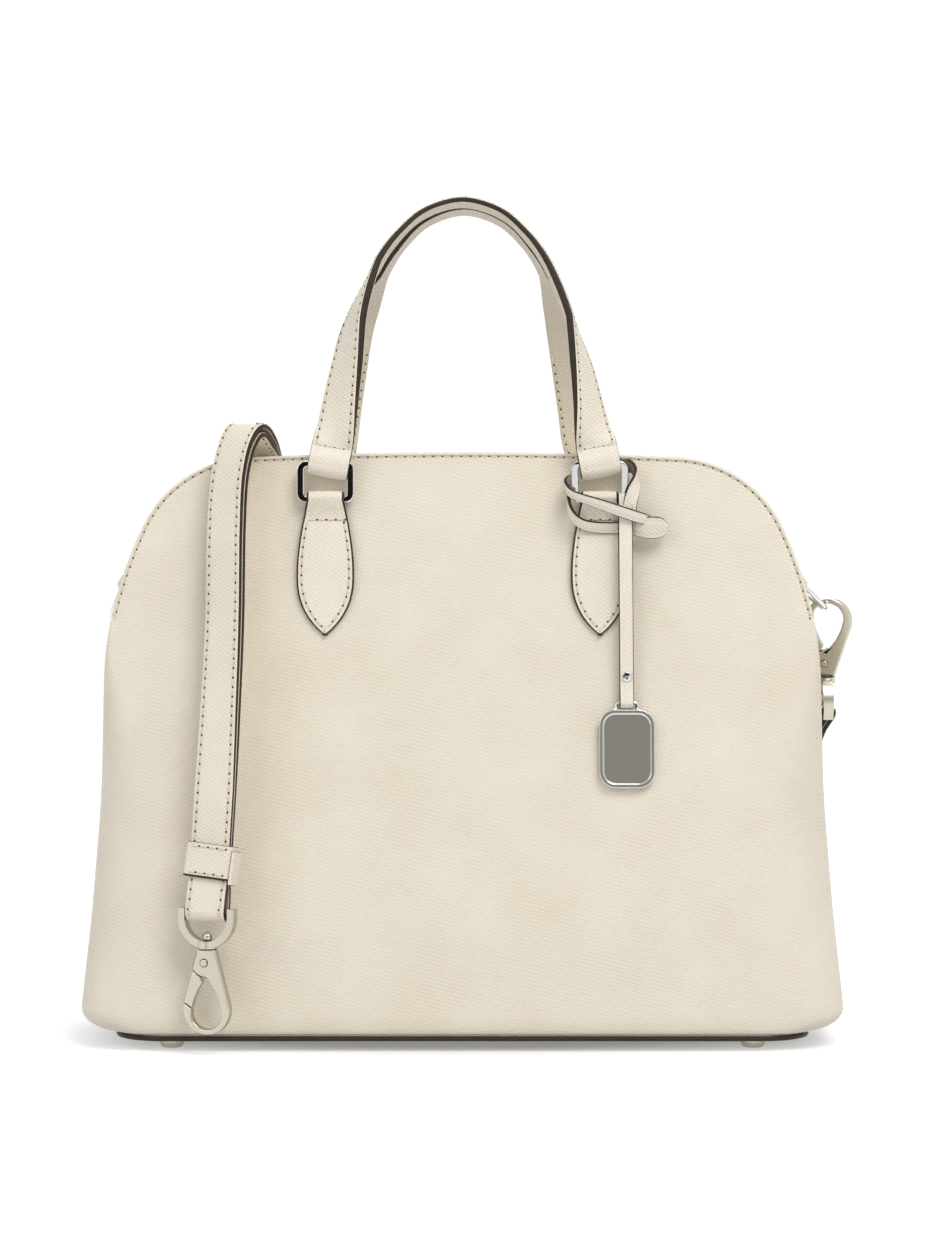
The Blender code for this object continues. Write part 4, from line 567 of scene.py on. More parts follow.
def stitch_model():
    """Points and faces of one stitch lying along X and of the needle hole at its end; Z is out of the leather."""
    circle = [math.tau * side / STITCH_SIDES for side in range(STITCH_SIDES)]
    points = []
    for share in even_steps(1.0, STITCH_RINGS - 1):
        radius = THREAD_RADIUS * (1.0 - 0.45 * share ** 4)
        rise = THREAD_RADIUS * (0.55 - 1.5 * share ** 4)
        for angle in circle:
            points.append(Vector((share * STITCH_REACH, radius * math.cos(angle), rise + radius * math.sin(angle))))
    faces = ring_faces(STITCH_RINGS, STITCH_SIDES)
    thread_faces = len(faces)
    start = len(points)
    middle = Vector((STITCH_PITCH / 2, 0.0, 0.0))
    for height, radius in ((-0.00010, NEEDLE_HOLE), (0.00012, NEEDLE_HOLE * 0.9)):
        for angle in circle:
            points.append(middle + Vector((radius * math.cos(angle), radius * math.sin(angle) * 0.8, height)))
    low = list(range(start, start + STITCH_SIDES))
    for a, b in zip(low, low[1:] + low[:1]):
        faces.append((a, b, b + STITCH_SIDES, a + STITCH_SIDES))
    faces += [tuple(a + STITCH_SIDES for a in low), tuple(reversed(low))]
    return points, faces, thread_faces


STITCH = stitch_model()


def patterned(name, colour, roughness, pattern, tones=None, relief=None, metallic=0.0, extra=None,
              kind="ShaderNodeTexNoise"):
    """Finish whose tone and fine relief follow one pattern; relief is its strength and its height."""
    finish, tree, shader = new_finish(name, colour, roughness, metallic)
    for key, value in (extra or {}).items():
        shader.inputs[key].default_value = value
    where = add_node(tree, "ShaderNodeTexCoord").outputs["Object"]
    share = add_node(tree, kind, pattern, {"Vector": where}).outputs["Fac"]
    if tones:
        tone = add_node(tree, "ShaderNodeMix", {"data_type": "RGBA", 6: hex_colour(tones[0]), 7: hex_colour(tones[1])},
                        {0: share})
        tree.links.new(tone.outputs[2], shader.inputs["Base Color"])
    if relief:
        bump = add_node(tree, "ShaderNodeBump", {"Strength": relief[0], "Distance": relief[1]}, {"Height": share})
        tree.links.new(bump.outputs[0], shader.inputs["Normal"])
    return finish


def worn(finish, pattern, low, high):
    """Let the roughness of a finish wander between two values."""
    tree = finish.node_tree
    where = add_node(tree, "ShaderNodeTexCoord").outputs["Object"]
    cloud = add_node(tree, "ShaderNodeTexNoise", pattern, {"Vector": where})
    haze = add_node(tree, "ShaderNodeMapRange", {"To Min": low, "To Max": high}, {"Value": cloud.outputs["Fac"]})
    tree.links.new(haze.outputs[0], tree.nodes["Principled BSDF"].inputs["Roughness"])
    return finish


# Waxed polyester: pale beige with a low sheen, its twist of 0.7 mm coarser than a real one so that it shows.
# Inside of a needle hole: the raw middle of the leather, dark because it lies in shade
THREAD = patterned("waxed_thread", "#E2D8C4", 0.6, {"Scale": 1500.0, "Detail": 1.0}, ("#D2C6AE", "#EEE6D6"),
                   (0.4, 0.0001))
HOLE_SHADE = patterned("needle_hole_shade", "#4E3820", 0.9, {"Scale": 700.0}, ("#3C2A12", "#604828"),
                       extra={"Specular IOR Level": 0.1})


def pace(line, pitch):
    """Places at an even pitch along a line of (point, outward) pairs, each with its frame."""
    spots = []
    travelled = 0.0
    due = pitch / 2
    for (start, out_one), (end, out_two) in zip(line, line[1:]):
        start, end = Vector(start), Vector(end)
        step = (end - start).length
        while step > 0.0 and due <= travelled + step:
            t = (due - travelled) / step
            along = (end - start).normalized()
            out = Vector(out_one).lerp(Vector(out_two), t)
            out = (out - along * out.dot(along)).normalized()
            turned = Matrix((along, out.cross(along), out)).transposed().to_4x4()
            turned.translation = start.lerp(end, t)
            spots.append(turned)
            due += pitch
        travelled += step
    return spots


def repeated(name, spots, model, finishes):
    """One mesh with a small model repeated at every spot; its faces after a count take the second finish."""
    points, faces, split = model
    vertices = [spot @ point for spot in spots for point in points]
    polygons = [tuple(index + n * len(points) for index in face) for n in range(len(spots)) for face in faces]
    mesh = bpy.data.meshes.new(name)
    mesh.from_pydata(vertices, [], polygons)
    for finish in finishes:
        mesh.materials.append(finish)
    mesh.polygons.foreach_set("material_index", [0 if n < split else 1 for n in range(len(faces))] * len(spots))
    piece = bpy.data.objects.new(name, mesh)
    bpy.context.scene.collection.objects.link(piece)
    smooth(piece, 50.0)
    return piece


def sew(name, lines, body):
    """Row or rows of stitches along lines of (point, outward) pairs."""
    spots = [spot for line in lines for spot in pace(line, STITCH_PITCH)]
    piece = repeated(name, spots, STITCH, (THREAD, HOLE_SHADE))
    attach(piece, body)


def dome_line(side):
    """Stitch line on a panel's face, inside the outline, over the whole dome."""
    line = []
    for length in even_steps(length_at(SEAM_HEIGHT), 260):
        x, z, _ = outline(length, SEAM_INSET)
        line.append(((x, side * half_depth(z), z), (0.0, side, DEPTH_TAPER)))
    return line


def dome_lip(name, side):
    """Turned lip that runs along the dome outside the stitches."""
    rows = []
    for length in even_steps(length_at(SEAM_HEIGHT + 0.003), 240):
        row = []
        for turn in range(9):
            angle = math.radians(180.0 * turn / 8)
            x, z, _ = outline(length, LIP_WIDTH * (0.5 - 0.5 * math.cos(angle)) + 0.0002)
            row.append((x, side * (half_depth(z) + LIP_HEIGHT * math.sin(angle) - 0.0001), z))
        rows.append(row + row[:1])
    piece = laid_grid(name, rows, PANEL_LEATHER)
    close_up(piece, 70.0)
    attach(piece, "bag")


for hand, side in (("front", -1.0), ("back", 1.0)):
    dome_lip("dome_lip_" + hand, side)
    sew("dome_stitches_" + hand, [dome_line(side)], "bag")


# Lining: thin suede-finish cloth, sewn into a tub that stands just inside the panels, with the base's
# stiffener under it in the same cloth. The closed zip hides it.

LINING_SIDE = 0.0044
LINING_FOOT = WALL_FOOT + 0.0032
LINING_THICKNESS = 0.0008


def suede_cloth(name):
    """Brushed microfibre: matt brown with a short nap that catches light unevenly, in patches of 4 mm."""
    return patterned(name, "#88745C", 0.95, {"Scale": 240.0, "Detail": 4.0}, ("#75624C", "#98836A"), (0.3, 0.0003),
                     extra={"Sheen Weight": 0.3})


SUEDE = suede_cloth("brushed_microfibre")


def lining_tub():
    """Lining: the front half's rows drawn in, mirrored to the back and closed at the foot."""
    rows, low_count = half_body_rows(LINING_SIDE)
    rows = [[(x, y, max(z, LINING_FOOT)) for x, y, z in row] for row in rows[2:]]
    count = len(rows[0])
    ring_rows = [row + [(x, -y, z) for x, y, z in reversed(row)] + [row[0]] for row in rows]
    middle = [[(x * share, y * share, LINING_FOOT) for x, y, z in ring_rows[0]] for share in (0.02, 0.5, 0.85)]
    piece = laid_grid("lining_tub", middle + ring_rows, SUEDE)
    drop_faces(piece, ring_rows, lambda row, column: row >= low_count - 1 and beside_face(
        column if column < count else 2 * count - 1 - column))
    work_mesh(piece, MERGE, FACE_OUT)
    give_wall(piece, LINING_THICKNESS, 0.0002)
    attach(piece, "bag")
    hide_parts("lining")


lining_tub()
frame["nodes"]["base_board"].data.materials[0] = SUEDE


# Zip gusset: a leather band over the dome between the two panels, 1.8 mm thick, with a slot for the zip.
# The slot's edges are turned under and sewn down to the woven tapes by a row of stitches on each side.

GUSSET_INSET = PANEL_THICKNESS + GAP
GUSSET_THICKNESS = 0.0018
GUSSET_LAP = 0.0060
GUSSET_CROWN = 0.0004
GUSSET_COLUMNS = 8
ZIP_SLOT = 0.0100
TAPE_WIDTH = 0.0100
TAPE_THICKNESS = 0.0006
TAPE_INSET = GUSSET_INSET + GUSSET_THICKNESS + GAP
# Distances of a tape's points from the middle plane, and their height over the tape
TAPE_POINTS = ((0.0026, -0.0003), (0.0029, 0.0003), (0.0034, 0.0001), (0.0050, 0.0), (0.0090, 0.0), (0.0129, 0.0))
ZIP_END = SHOULDER_END
# Woven polyester: matt, with a herringbone weave of about 1 mm
TAPE_CLOTH = patterned("woven_polyester_tape", "#D8CDB6", 0.85,
                       {"Scale": 330.0, "Distortion": 1.5, "bands_direction": "DIAGONAL"}, ("#C6B99F", "#E0D6C1"),
                       (0.5, 0.0002), kind="ShaderNodeTexWave")


def gusset_band():
    """Gusset with its slot, laid along the dome."""
    lengths = sorted(set(even_steps(length_at(SEAM_HEIGHT - GUSSET_LAP), 240) + [-ZIP_END, ZIP_END]))
    rows = []
    for length in lengths:
        x, z, lean = outline(length, GUSSET_INSET)
        edge = half_depth(outline(length)[1]) - PANEL_THICKNESS - GAP
        width = edge - ZIP_SLOT / 2
        across = [-edge + width * n / GUSSET_COLUMNS for n in range(GUSSET_COLUMNS + 1)]
        row = []
        for y in across + [-y for y in reversed(across)]:
            rise = GUSSET_CROWN * math.sin(math.pi * (edge - abs(y)) / width) if abs(y) > ZIP_SLOT / 2 else 0
            row.append((x + rise * math.sin(lean), y, z + rise * math.cos(lean)))
        rows.append(row)
    piece = laid_grid("gusset_band", rows, PANEL_LEATHER)
    drop_faces(piece, rows, lambda row, column: column == GUSSET_COLUMNS
               and abs(lengths[row] + lengths[row + 1]) / 2 < ZIP_END)
    face_towards(piece, (0.0, 0.0, 1.0))
    give_wall(piece, GUSSET_THICKNESS, 0.0005)
    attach(piece, "bag")
    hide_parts("zip_gusset")


def gusset_line(y):
    """Stitch line over the dome beside the zip, from just past one of its ends to the other."""
    line = []
    for length in even_steps(ZIP_END + 0.0016, 200):
        x, z, lean = outline(length, GUSSET_INSET)
        line.append(((x, y, z), (math.sin(lean), 0.0, math.cos(lean))))
    return line


def zip_tape(name, node, side):
    """Tape under the slot's edge, with its corded inner edge beside the teeth."""
    rows = []
    for length in even_steps(ZIP_END + TAPE_WIDTH / 2, 200):
        row = []
        for y, rise in TAPE_POINTS:
            x, z, _ = outline(length, TAPE_INSET - rise)
            row.append((x, side * y, z))
        rows.append(row)
    piece = laid_grid(name, rows, TAPE_CLOTH)
    face_towards(piece, (0.0, 0.0, 1.0))
    give_wall(piece, TAPE_THICKNESS, 0.0001)
    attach(piece, "bag")
    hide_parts(node)


gusset_band()
sew("gusset_stitches", [gusset_line(side * (ZIP_SLOT / 2 + 0.0020)) for side in (-1, 1)], "bag")
zip_tape("tape_front", "zip_tape_front", -1)
zip_tape("tape_back", "zip_tape_back", 1)


# Metal: die-cast zinc alloy. The teeth, hooks, feet, adjuster and puller are plated in satin nickel, which
# gives soft wide highlights; the rings, the rivet and the tag are polished bright, which mirrors the studio.

TOOTH_PITCH = 0.0024
TOOTH_INSET = TAPE_INSET - 0.0012 + 0.0010
TOOTH_HALF_LENGTH = 0.0008
TOOTH_HALF_HEIGHT = 0.0010
TOOTH_SHOULDER = 0.65


def plated(name, colour, roughness, grain):
    """Plated zinc alloy: a fine grain of 0.7 mm and faint clouds of 6 mm from casting and polishing."""
    plate = patterned(name, colour, roughness, {"Scale": 1400.0, "Detail": 2.0}, relief=(grain, 0.00005), metallic=1.0)
    return worn(plate, {"Scale": 180.0, "Detail": 3.0}, roughness * 0.8, roughness * 1.25)


SATIN_NICKEL = plated("satin_nickel_plate", "#C0BBAC", 0.25, 0.02)
BRIGHT_CHROME = plated("polished_chrome_plate", "#D9DADB", 0.06, 0.02)


def tooth_model():
    """One stamped tooth: a block with chamfered shoulders; X runs along the zip, Y away from its middle."""
    long, high = TOOTH_HALF_LENGTH, TOOTH_HALF_HEIGHT
    section = ((-long, -high), (long, -high), (long, high * 0.6), (long * 0.5, high), (-long * 0.5, high),
               (-long, high * 0.6))
    points = []
    for y, grow in ((-0.0008, TOOTH_SHOULDER), (-0.0003, 1.0), (0.0024, 1.0), (0.0028, TOOTH_SHOULDER)):
        points += [Vector((x * grow, y, z * grow)) for x, z in section]
    faces = ring_faces(4, len(section))
    return points, faces, len(faces)


def zip_teeth():
    """Closed row of teeth, turn and turn about from the two tapes."""
    spots = []
    count = int(2 * ZIP_END / TOOTH_PITCH)
    for n in range(2 * count - 1):
        x, z, lean = outline(ZIP_END * ((n + 1) / count - 1.0), TOOTH_INSET)
        turned = Matrix.Rotation(lean, 4, "Y")
        turned.translation = (x, 0.0, z)
        if n % 2:
            turned = turned @ Matrix.Rotation(math.pi, 4, "Z")
        spots.append(turned)
    piece = repeated("zip_teeth", spots, tooth_model(), (SATIN_NICKEL,))
    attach(piece, "bag")
    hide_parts("zip_chain")


def cast_metal(name, node, edge, segments=3, clamp=False, polished=False):
    """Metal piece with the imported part's shape, its loose triangles merged and its edges rounded."""
    bpy.ops.object.select_all(action="DESELECT")
    piece = bpy.data.objects.new(name, frame["nodes"][node].data.copy())
    bpy.context.scene.collection.objects.link(piece)
    piece.data.materials.clear()
    piece.data.materials.append(BRIGHT_CHROME if polished else SATIN_NICKEL)
    piece.select_set(True)
    work_mesh(piece, (bpy.ops.mesh.remove_doubles, {"threshold": 0.000005}),
              (bpy.ops.mesh.customdata_custom_splitnormals_clear, {}),
              (bpy.ops.mesh.dissolve_limited, {"angle_limit": math.radians(1.0)}))
    round_edges(piece, edge, segments, 38.0, clamp)
    smooth(piece, 42.0)
    flats = piece.modifiers.new("flat_faces", "WEIGHTED_NORMAL")
    flats.keep_sharp = True
    flats.weight = 60
    apply_all(piece)
    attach(piece, frame["nodes"][node]["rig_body"])
    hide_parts(node)


zip_teeth()
cast_metal("slider_body", "zip_slider", 0.0003, 2)
cast_metal("slider_puller", "zip_puller", 0.0003, 2)


# Base: a leather-covered panel of 3 mm, its cut edge filled and painted dark, on four metal studs.
# The stiffener lies inside, and the panels' lower edges round in to the painted edge.

BASE_EDGE = 0.0010
# Inset and height of each ring of points, from the underside round the edge to the top
BASE_RINGS = ((0.0300, 0.0), (0.0012, 0.0), (0.0004, 0.0002), (0.0, 0.0009), (0.0, 0.0021), (0.0004, 0.0028),
              (0.0012, 0.0030), (0.0300, 0.0030))
# Leather edge paint: dark brown acrylic, slightly glossy, with waves of about 3 mm from the brush
EDGE_PAINT = patterned("dark_edge_paint", "#2B231B", 0.50, {"Scale": 320.0, "Detail": 3.0}, ("#221B14", "#3B3025"),
                       (0.4, 0.0002), extra={"Specular IOR Level": 0.25})


def rounded_rectangle(half_x, half_y, radius, steps):
    """Outline of a rectangle with round corners, run round once."""
    points = []
    for corner, (sx, sy) in enumerate(((1, 1), (-1, 1), (-1, -1), (1, -1))):
        for n in range(steps + 1):
            angle = math.radians(90.0 * (corner + n / steps))
            points.append((sx * (half_x - radius) + radius * math.cos(angle),
                           sy * (half_y - radius) + radius * math.sin(angle)))
    return points


def base_slab():
    """Base panel: rings of points from its underside round the painted edge to its top."""
    half_x = outline(length_at(WALL_FOOT))[0] - BOTTOM_ROUND_SIDE + BASE_EDGE
    half_y = half_depth(WALL_FOOT) - BOTTOM_ROUND_FRONT + BASE_EDGE
    rows = []
    for inset, z in BASE_RINGS:
        corner = max(corner_radius(WALL_FOOT) + BASE_EDGE - inset, 0.0005)
        ring = rounded_rectangle(half_x - inset, half_y - inset, corner, 10)
        rows.append([(x, y, z) for x, y in ring + ring[:1]])
    piece = laid_grid("base_slab", rows, PANEL_LEATHER, EDGE_PAINT)
    close_up(piece, 50.0)
    for face in piece.data.polygons:
        if abs(face.normal.z) < 0.92:
            face.material_index = 1
    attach(piece, "bag")
    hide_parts("base_panel")


base_slab()
for corner in ("front_left", "front_right", "back_left", "back_right"):
    cast_metal("stud_" + corner, "foot_" + corner, 0.0005)


# Flat straps: two layers of leather sewn back to back, edges filled, sanded and painted dark. The face is
# faintly crowned, with the stitch line pressed in about 2 mm from each edge.

EDGE_ROUND = 0.0005
EDGE_STEPS = 5
FACE_OFFSETS = (0.0, 0.0006, 0.0011, 0.0016, 0.0021, 0.0026, 0.0034)
PRESS_IN = 0.0016
PRESS_WIDTH = 0.0006
PRESS_DEPTH = 0.00018
STITCH_IN = EDGE_ROUND + PRESS_IN
STITCH_LIFT = 0.0002
UNDER_LIFT = 0.0001


def strap_section(width, thickness, crown, rim, bare):
    """Points round a strap's section as (across, up), and which spans between them are painted or underside."""
    edge = min(rim, thickness * 0.6)
    half = max(width / 2 - edge, 0.0003)
    squeeze = min(1.0, half / 0.0045)
    near = [half - offset * squeeze for offset in FACE_OFFSETS]
    middle = [near[-1] * share for share in (0.66, 0.33, 0.0, -0.33, -0.66)]
    section = []
    for u in near + middle + [-u for u in reversed(near)]:
        press = PRESS_DEPTH * math.exp(-((half - abs(u) - PRESS_IN * squeeze) / PRESS_WIDTH) ** 2)
        section.append((u, thickness / 2 + crown * (1.0 - (u / half) ** 4) - press))
    first = len(section) - 1
    for start, side in ((90.0, -1.0), (-90.0, 1.0)):
        for n in range(1, EDGE_STEPS + 1):
            angle = math.radians(start + 30.0 * n)
            section.append((side * half + edge * math.cos(angle), thickness / 2 * math.sin(angle)))
        if side < 0.0:
            section += [(-half * share, -thickness / 2) for share in (1.0, 0.6, 0.2, -0.2, -0.6, -1.0)]
            second = len(section) - 1
    spans = EDGE_STEPS + 1
    edges = set(range(first + bare, first + spans - bare)) | set(range(second + bare, second + spans - bare))
    return section, edges, set(range(first + spans, second))


def strap_frames(stations, closed=False):
    """Middle, across and face direction at every station of a strap."""
    points = [Vector(station[0]) for station in stations]
    last = len(points) - 1
    frames = []
    for i, station in enumerate(stations):
        before = points[i - 1] if i or closed else points[0]
        after = points[i + 1] if i < last else points[0] if closed else points[last]
        along = (after - before).normalized()
        across = along.cross(Vector(station[1])).normalized()
        frames.append((points[i], across, across.cross(along)))
    return frames


def curve_point(p0, p1, p2, p3, t):
    """Point at a share of the way from the second to the third of four points on a smooth curve."""
    return 0.5 * (2 * p1 + (p2 - p0) * t + (2 * p0 - 5 * p1 + 4 * p2 - p3) * t ** 2
                  + (3 * p1 - p0 - 3 * p2 + p3) * t ** 3)


def finer(stations, times, closed=False):
    """Stations with smooth ones put between them."""
    count = len(stations)
    result = []
    spans = count if closed else count - 1
    for i in range(spans):
        picks = []
        for j in (i - 1, i, i + 1, i + 2):
            picks.append(stations[j % count] if closed else stations[min(max(j, 0), count - 1)])
        p0, p1, p2, p3 = (Vector(pick[0]) for pick in picks)
        if not closed and i == 0:
            p0 = p1 * 2 - p2
        if not closed and i == spans - 1:
            p3 = p2 * 2 - p1
        (_, look, width, thick), (_, next_look, next_width, next_thick) = picks[1:3]
        for n in range(times):
            t = n / times
            looks = Vector(look).normalized().lerp(Vector(next_look).normalized(), t)
            result.append((curve_point(p0, p1, p2, p3, t), looks, width + (next_width - width) * t,
                           thick + (next_thick - thick) * t))
    return result if closed else result + [stations[-1]]


def leather_strap(name, stations, backing, crown=0.0003, closed=False, rim=EDGE_ROUND, bare=1, paint=EDGE_PAINT):
    """Strap swept along its stations: face, painted edges and backing; bare spans stay unpainted beside them."""
    rows = []
    for station, (middle, across, face) in zip(stations, strap_frames(stations, closed)):
        section, edges, under = strap_section(station[2], station[3], crown, rim, bare)
        rows.append([middle + across * u + face * v for u, v in section + section[:1]])
    if closed:
        rows.append(rows[0])
    piece = laid_grid(name, rows, STRAP_LEATHER, paint, backing)
    columns = len(rows[0]) - 1
    for face in piece.data.polygons:
        column = face.index % columns
        face.material_index = 1 if column in edges else 2 if column in under else 0
    close_up(piece, 55.0)
    for face in piece.data.polygons:
        if len(face.vertices) > 8:
            face.material_index = 1
    return piece


def strap_rail(stations, edge, first, last, below=False):
    """Stitch line beside one edge of a strap, on its face or on its underside."""
    line = []
    frames = strap_frames(stations)
    for i in range(first, last):
        middle, across, face = frames[i]
        over = -face if below else face
        rise = stations[i][3] / 2 + (UNDER_LIFT if below else STITCH_LIFT)
        line.append((middle + across * (edge * (stations[i][2] / 2 - STITCH_IN)) + over * rise, over))
    return line


STRAP_LEATHER = grained_leather("sewn_strap_cowhide", "#DBCFB9", "#F6EEDF", (22.0, -38.0))
# Handle underside: the strap's own leather with painted shade, darker and flatter because it faces down
SHADED_UNDER_LEATHER = grained_leather("handle_underside_painted_shade", "#D2C7B3", "#E4DBCA", (22.0, -38.0))
STRAP_LINING = suede_cloth("strap_backing_microfibre")


# Handle tabs: a strip cut to a leaf shape, folded over the ring's lower bar and sewn flat on the panel,
# round the leaf and straight across it below the fold.

RING_X = 0.0670
RING_BAR_REACH = 0.0015 * 1.42
RING_AXIS_Z = 0.2608
RING_HEIGHT = 0.0205
RING_TOP_BAR_Z = RING_AXIS_Z + RING_HEIGHT - 0.0030
TAB_THICKNESS = 0.0018
TAB_FOLD_HALF_WIDTH = 0.0090
TAB_HALF_WIDTH = 0.0141
TAB_TIP_Z = 0.1945
TAB_BACK_END_Z = 0.2440
TAB_CROSS_Z = 0.2511
LEAF_ROWS = 34
RING_AXIS_Y = half_depth(RING_AXIS_Z) + GAP + TAB_THICKNESS + GAP + RING_BAR_REACH + GAP


def tab_half_width(z):
    """Half width of the leaf at a height: narrow at the fold, widest low down, pointed."""
    widest = RING_AXIS_Z + (TAB_TIP_Z - RING_AXIS_Z) * 0.56
    if z > widest:
        t = (RING_AXIS_Z - z) / (RING_AXIS_Z - widest)
        return TAB_FOLD_HALF_WIDTH + (TAB_HALF_WIDTH - TAB_FOLD_HALF_WIDTH) * math.sin(t * math.pi / 2)
    t = (widest - z) / (widest - TAB_TIP_Z)
    return max(TAB_HALF_WIDTH * (1.0 - t ** 2.4) ** 0.9, 0.0008)


def tab_rise(z):
    """Height of the tab's face over the panel: double at the fold, single at the point, filled between."""
    single = GAP + TAB_THICKNESS
    return single + (TAB_THICKNESS + GAP) * ease(z, TAB_TIP_Z, TAB_BACK_END_Z)


def tab_stations(x, side):
    """Tab from its hidden end up behind, over the bar and down the front to the point."""
    wrap = RING_BAR_REACH + GAP + TAB_THICKNESS / 2
    stations = []

    def add(y, z, looks, half_width):
        stations.append(((x, side * y, z), (0.0, side * looks[0], looks[1]), 2 * half_width, TAB_THICKNESS))
    for z in (TAB_BACK_END_Z, TAB_BACK_END_Z + 0.006, RING_AXIS_Z - 0.006):
        add(half_depth(z) + TAB_THICKNESS / 2 + GAP, z, (-1.0, -DEPTH_TAPER), tab_half_width(z) - 0.0006)
    for angle in turning(-90, 90, 15):
        add(RING_AXIS_Y + wrap * math.sin(angle), RING_AXIS_Z + wrap * math.cos(angle),
            (math.sin(angle), math.cos(angle)), TAB_FOLD_HALF_WIDTH)
    double = 3 * TAB_THICKNESS / 2 + 2 * GAP
    for z in (RING_AXIS_Z - 0.008, TAB_BACK_END_Z + 0.004, TAB_BACK_END_Z + 0.0004):
        add(half_depth(z) + double, z, (1.0, DEPTH_TAPER), tab_half_width(z))
    top = TAB_BACK_END_Z - 0.0006
    for n in range(LEAF_ROWS + 1):
        z = top + (TAB_TIP_Z - top) * math.sin(n / LEAF_ROWS * math.pi / 2)
        inner = GAP + (TAB_THICKNESS + GAP) * ease(z, TAB_BACK_END_Z - 0.009, TAB_BACK_END_Z)
        middle = (x, side * (half_depth(z) + (inner + tab_rise(z)) / 2), z)
        stations.append((middle, (0.0, side, DEPTH_TAPER), 2 * tab_half_width(z), tab_rise(z) - inner))
    return stations


def handle_tab(name, x, side):
    """One tab with its sewing."""
    piece = leather_strap("tab_" + name, finer(tab_stations(x, side), 2), STRAP_LEATHER, 0.0002, rim=0.0009, bare=0)
    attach(piece, "bag")
    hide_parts("handle_tab_" + name)

    def on_face(u, z):
        return (x + u, side * (half_depth(z) + tab_rise(z) + STITCH_LIFT), z), (0.0, side, DEPTH_TAPER)
    leaf = []
    steps = 60
    for n in range(steps + 1):
        z = TAB_CROSS_Z + (TAB_TIP_Z + 0.0022 - TAB_CROSS_Z) * n / steps
        leaf.append((max(tab_half_width(z - 0.0012) - STITCH_IN - 0.0004, 0.0), z))
    line = [on_face(-u, z) for u, z in leaf] + [on_face(u, z) for u, z in reversed(leaf)]
    cross = [on_face(u, TAB_CROSS_Z) for u in (-leaf[0][0], 0.0, leaf[0][0])]
    sew("tab_stitches_" + name, [line, cross], "bag")


for row, side in (("front_", -1), ("back_", 1)):
    for hand, x in (("left", -RING_X), ("right", RING_X)):
        handle_tab(row + hand, x, side)
        cast_metal("ring_" + row + hand, "handle_ring_" + row + hand, 0.0006, 2, polished=True)


# Carry handles: one padded strap each, 20 mm wide and 4 mm thick, that turns from facing front at the rings
# to lying flat at the top. Its ends thin out, go round the rings' upper bars and are sewn to themselves.

HANDLE_WIDTH = 0.0200
HANDLE_THICKNESS = 0.0040
HANDLE_LOOP_THICKNESS = 0.0018
HANDLE_LOOP_DROP = 0.0019
HANDLE_LOOP_TOP_Z = 0.2880
HANDLE_LOOP_LEAN = math.radians(10.5)
HANDLE_LOOP_IN = 0.0008
HANDLE_APEX_Z = 0.4100
HANDLE_APEX_Y = 0.0120
HANDLE_THINNEST = 0.0026
HANDLE_SEWN_Z = 0.2862
UNDER_SEWN_Z = 0.3420
BACK_HANDLE_LEAN = 0.0015
HANDLE_SLIP = 0.0009
# Right half of the middle line as x and z, and the turns of the face from front to top of each half
HANDLE_LINE = (
    (0.0626, 0.2960), (0.0608, 0.3080), (0.0575, 0.3280), (0.0530, 0.3490), (0.0481, 0.3635), (0.0418, 0.3780),
    (0.0332, 0.3910), (0.0195, 0.4040),
)
FRONT_LEFT_TURNS = (20.0, 32.0, 47.0, 66.0, 79.0, 90.0, 90.0, 90.0)
FRONT_RIGHT_TURNS = (30.0, 47.0, 64.0, 88.0, 90.0, 90.0, 90.0, 90.0)
BACK_TURNS = (8.0, 18.0, 31.0, 47.0, 64.0, 86.0, 90.0, 90.0)


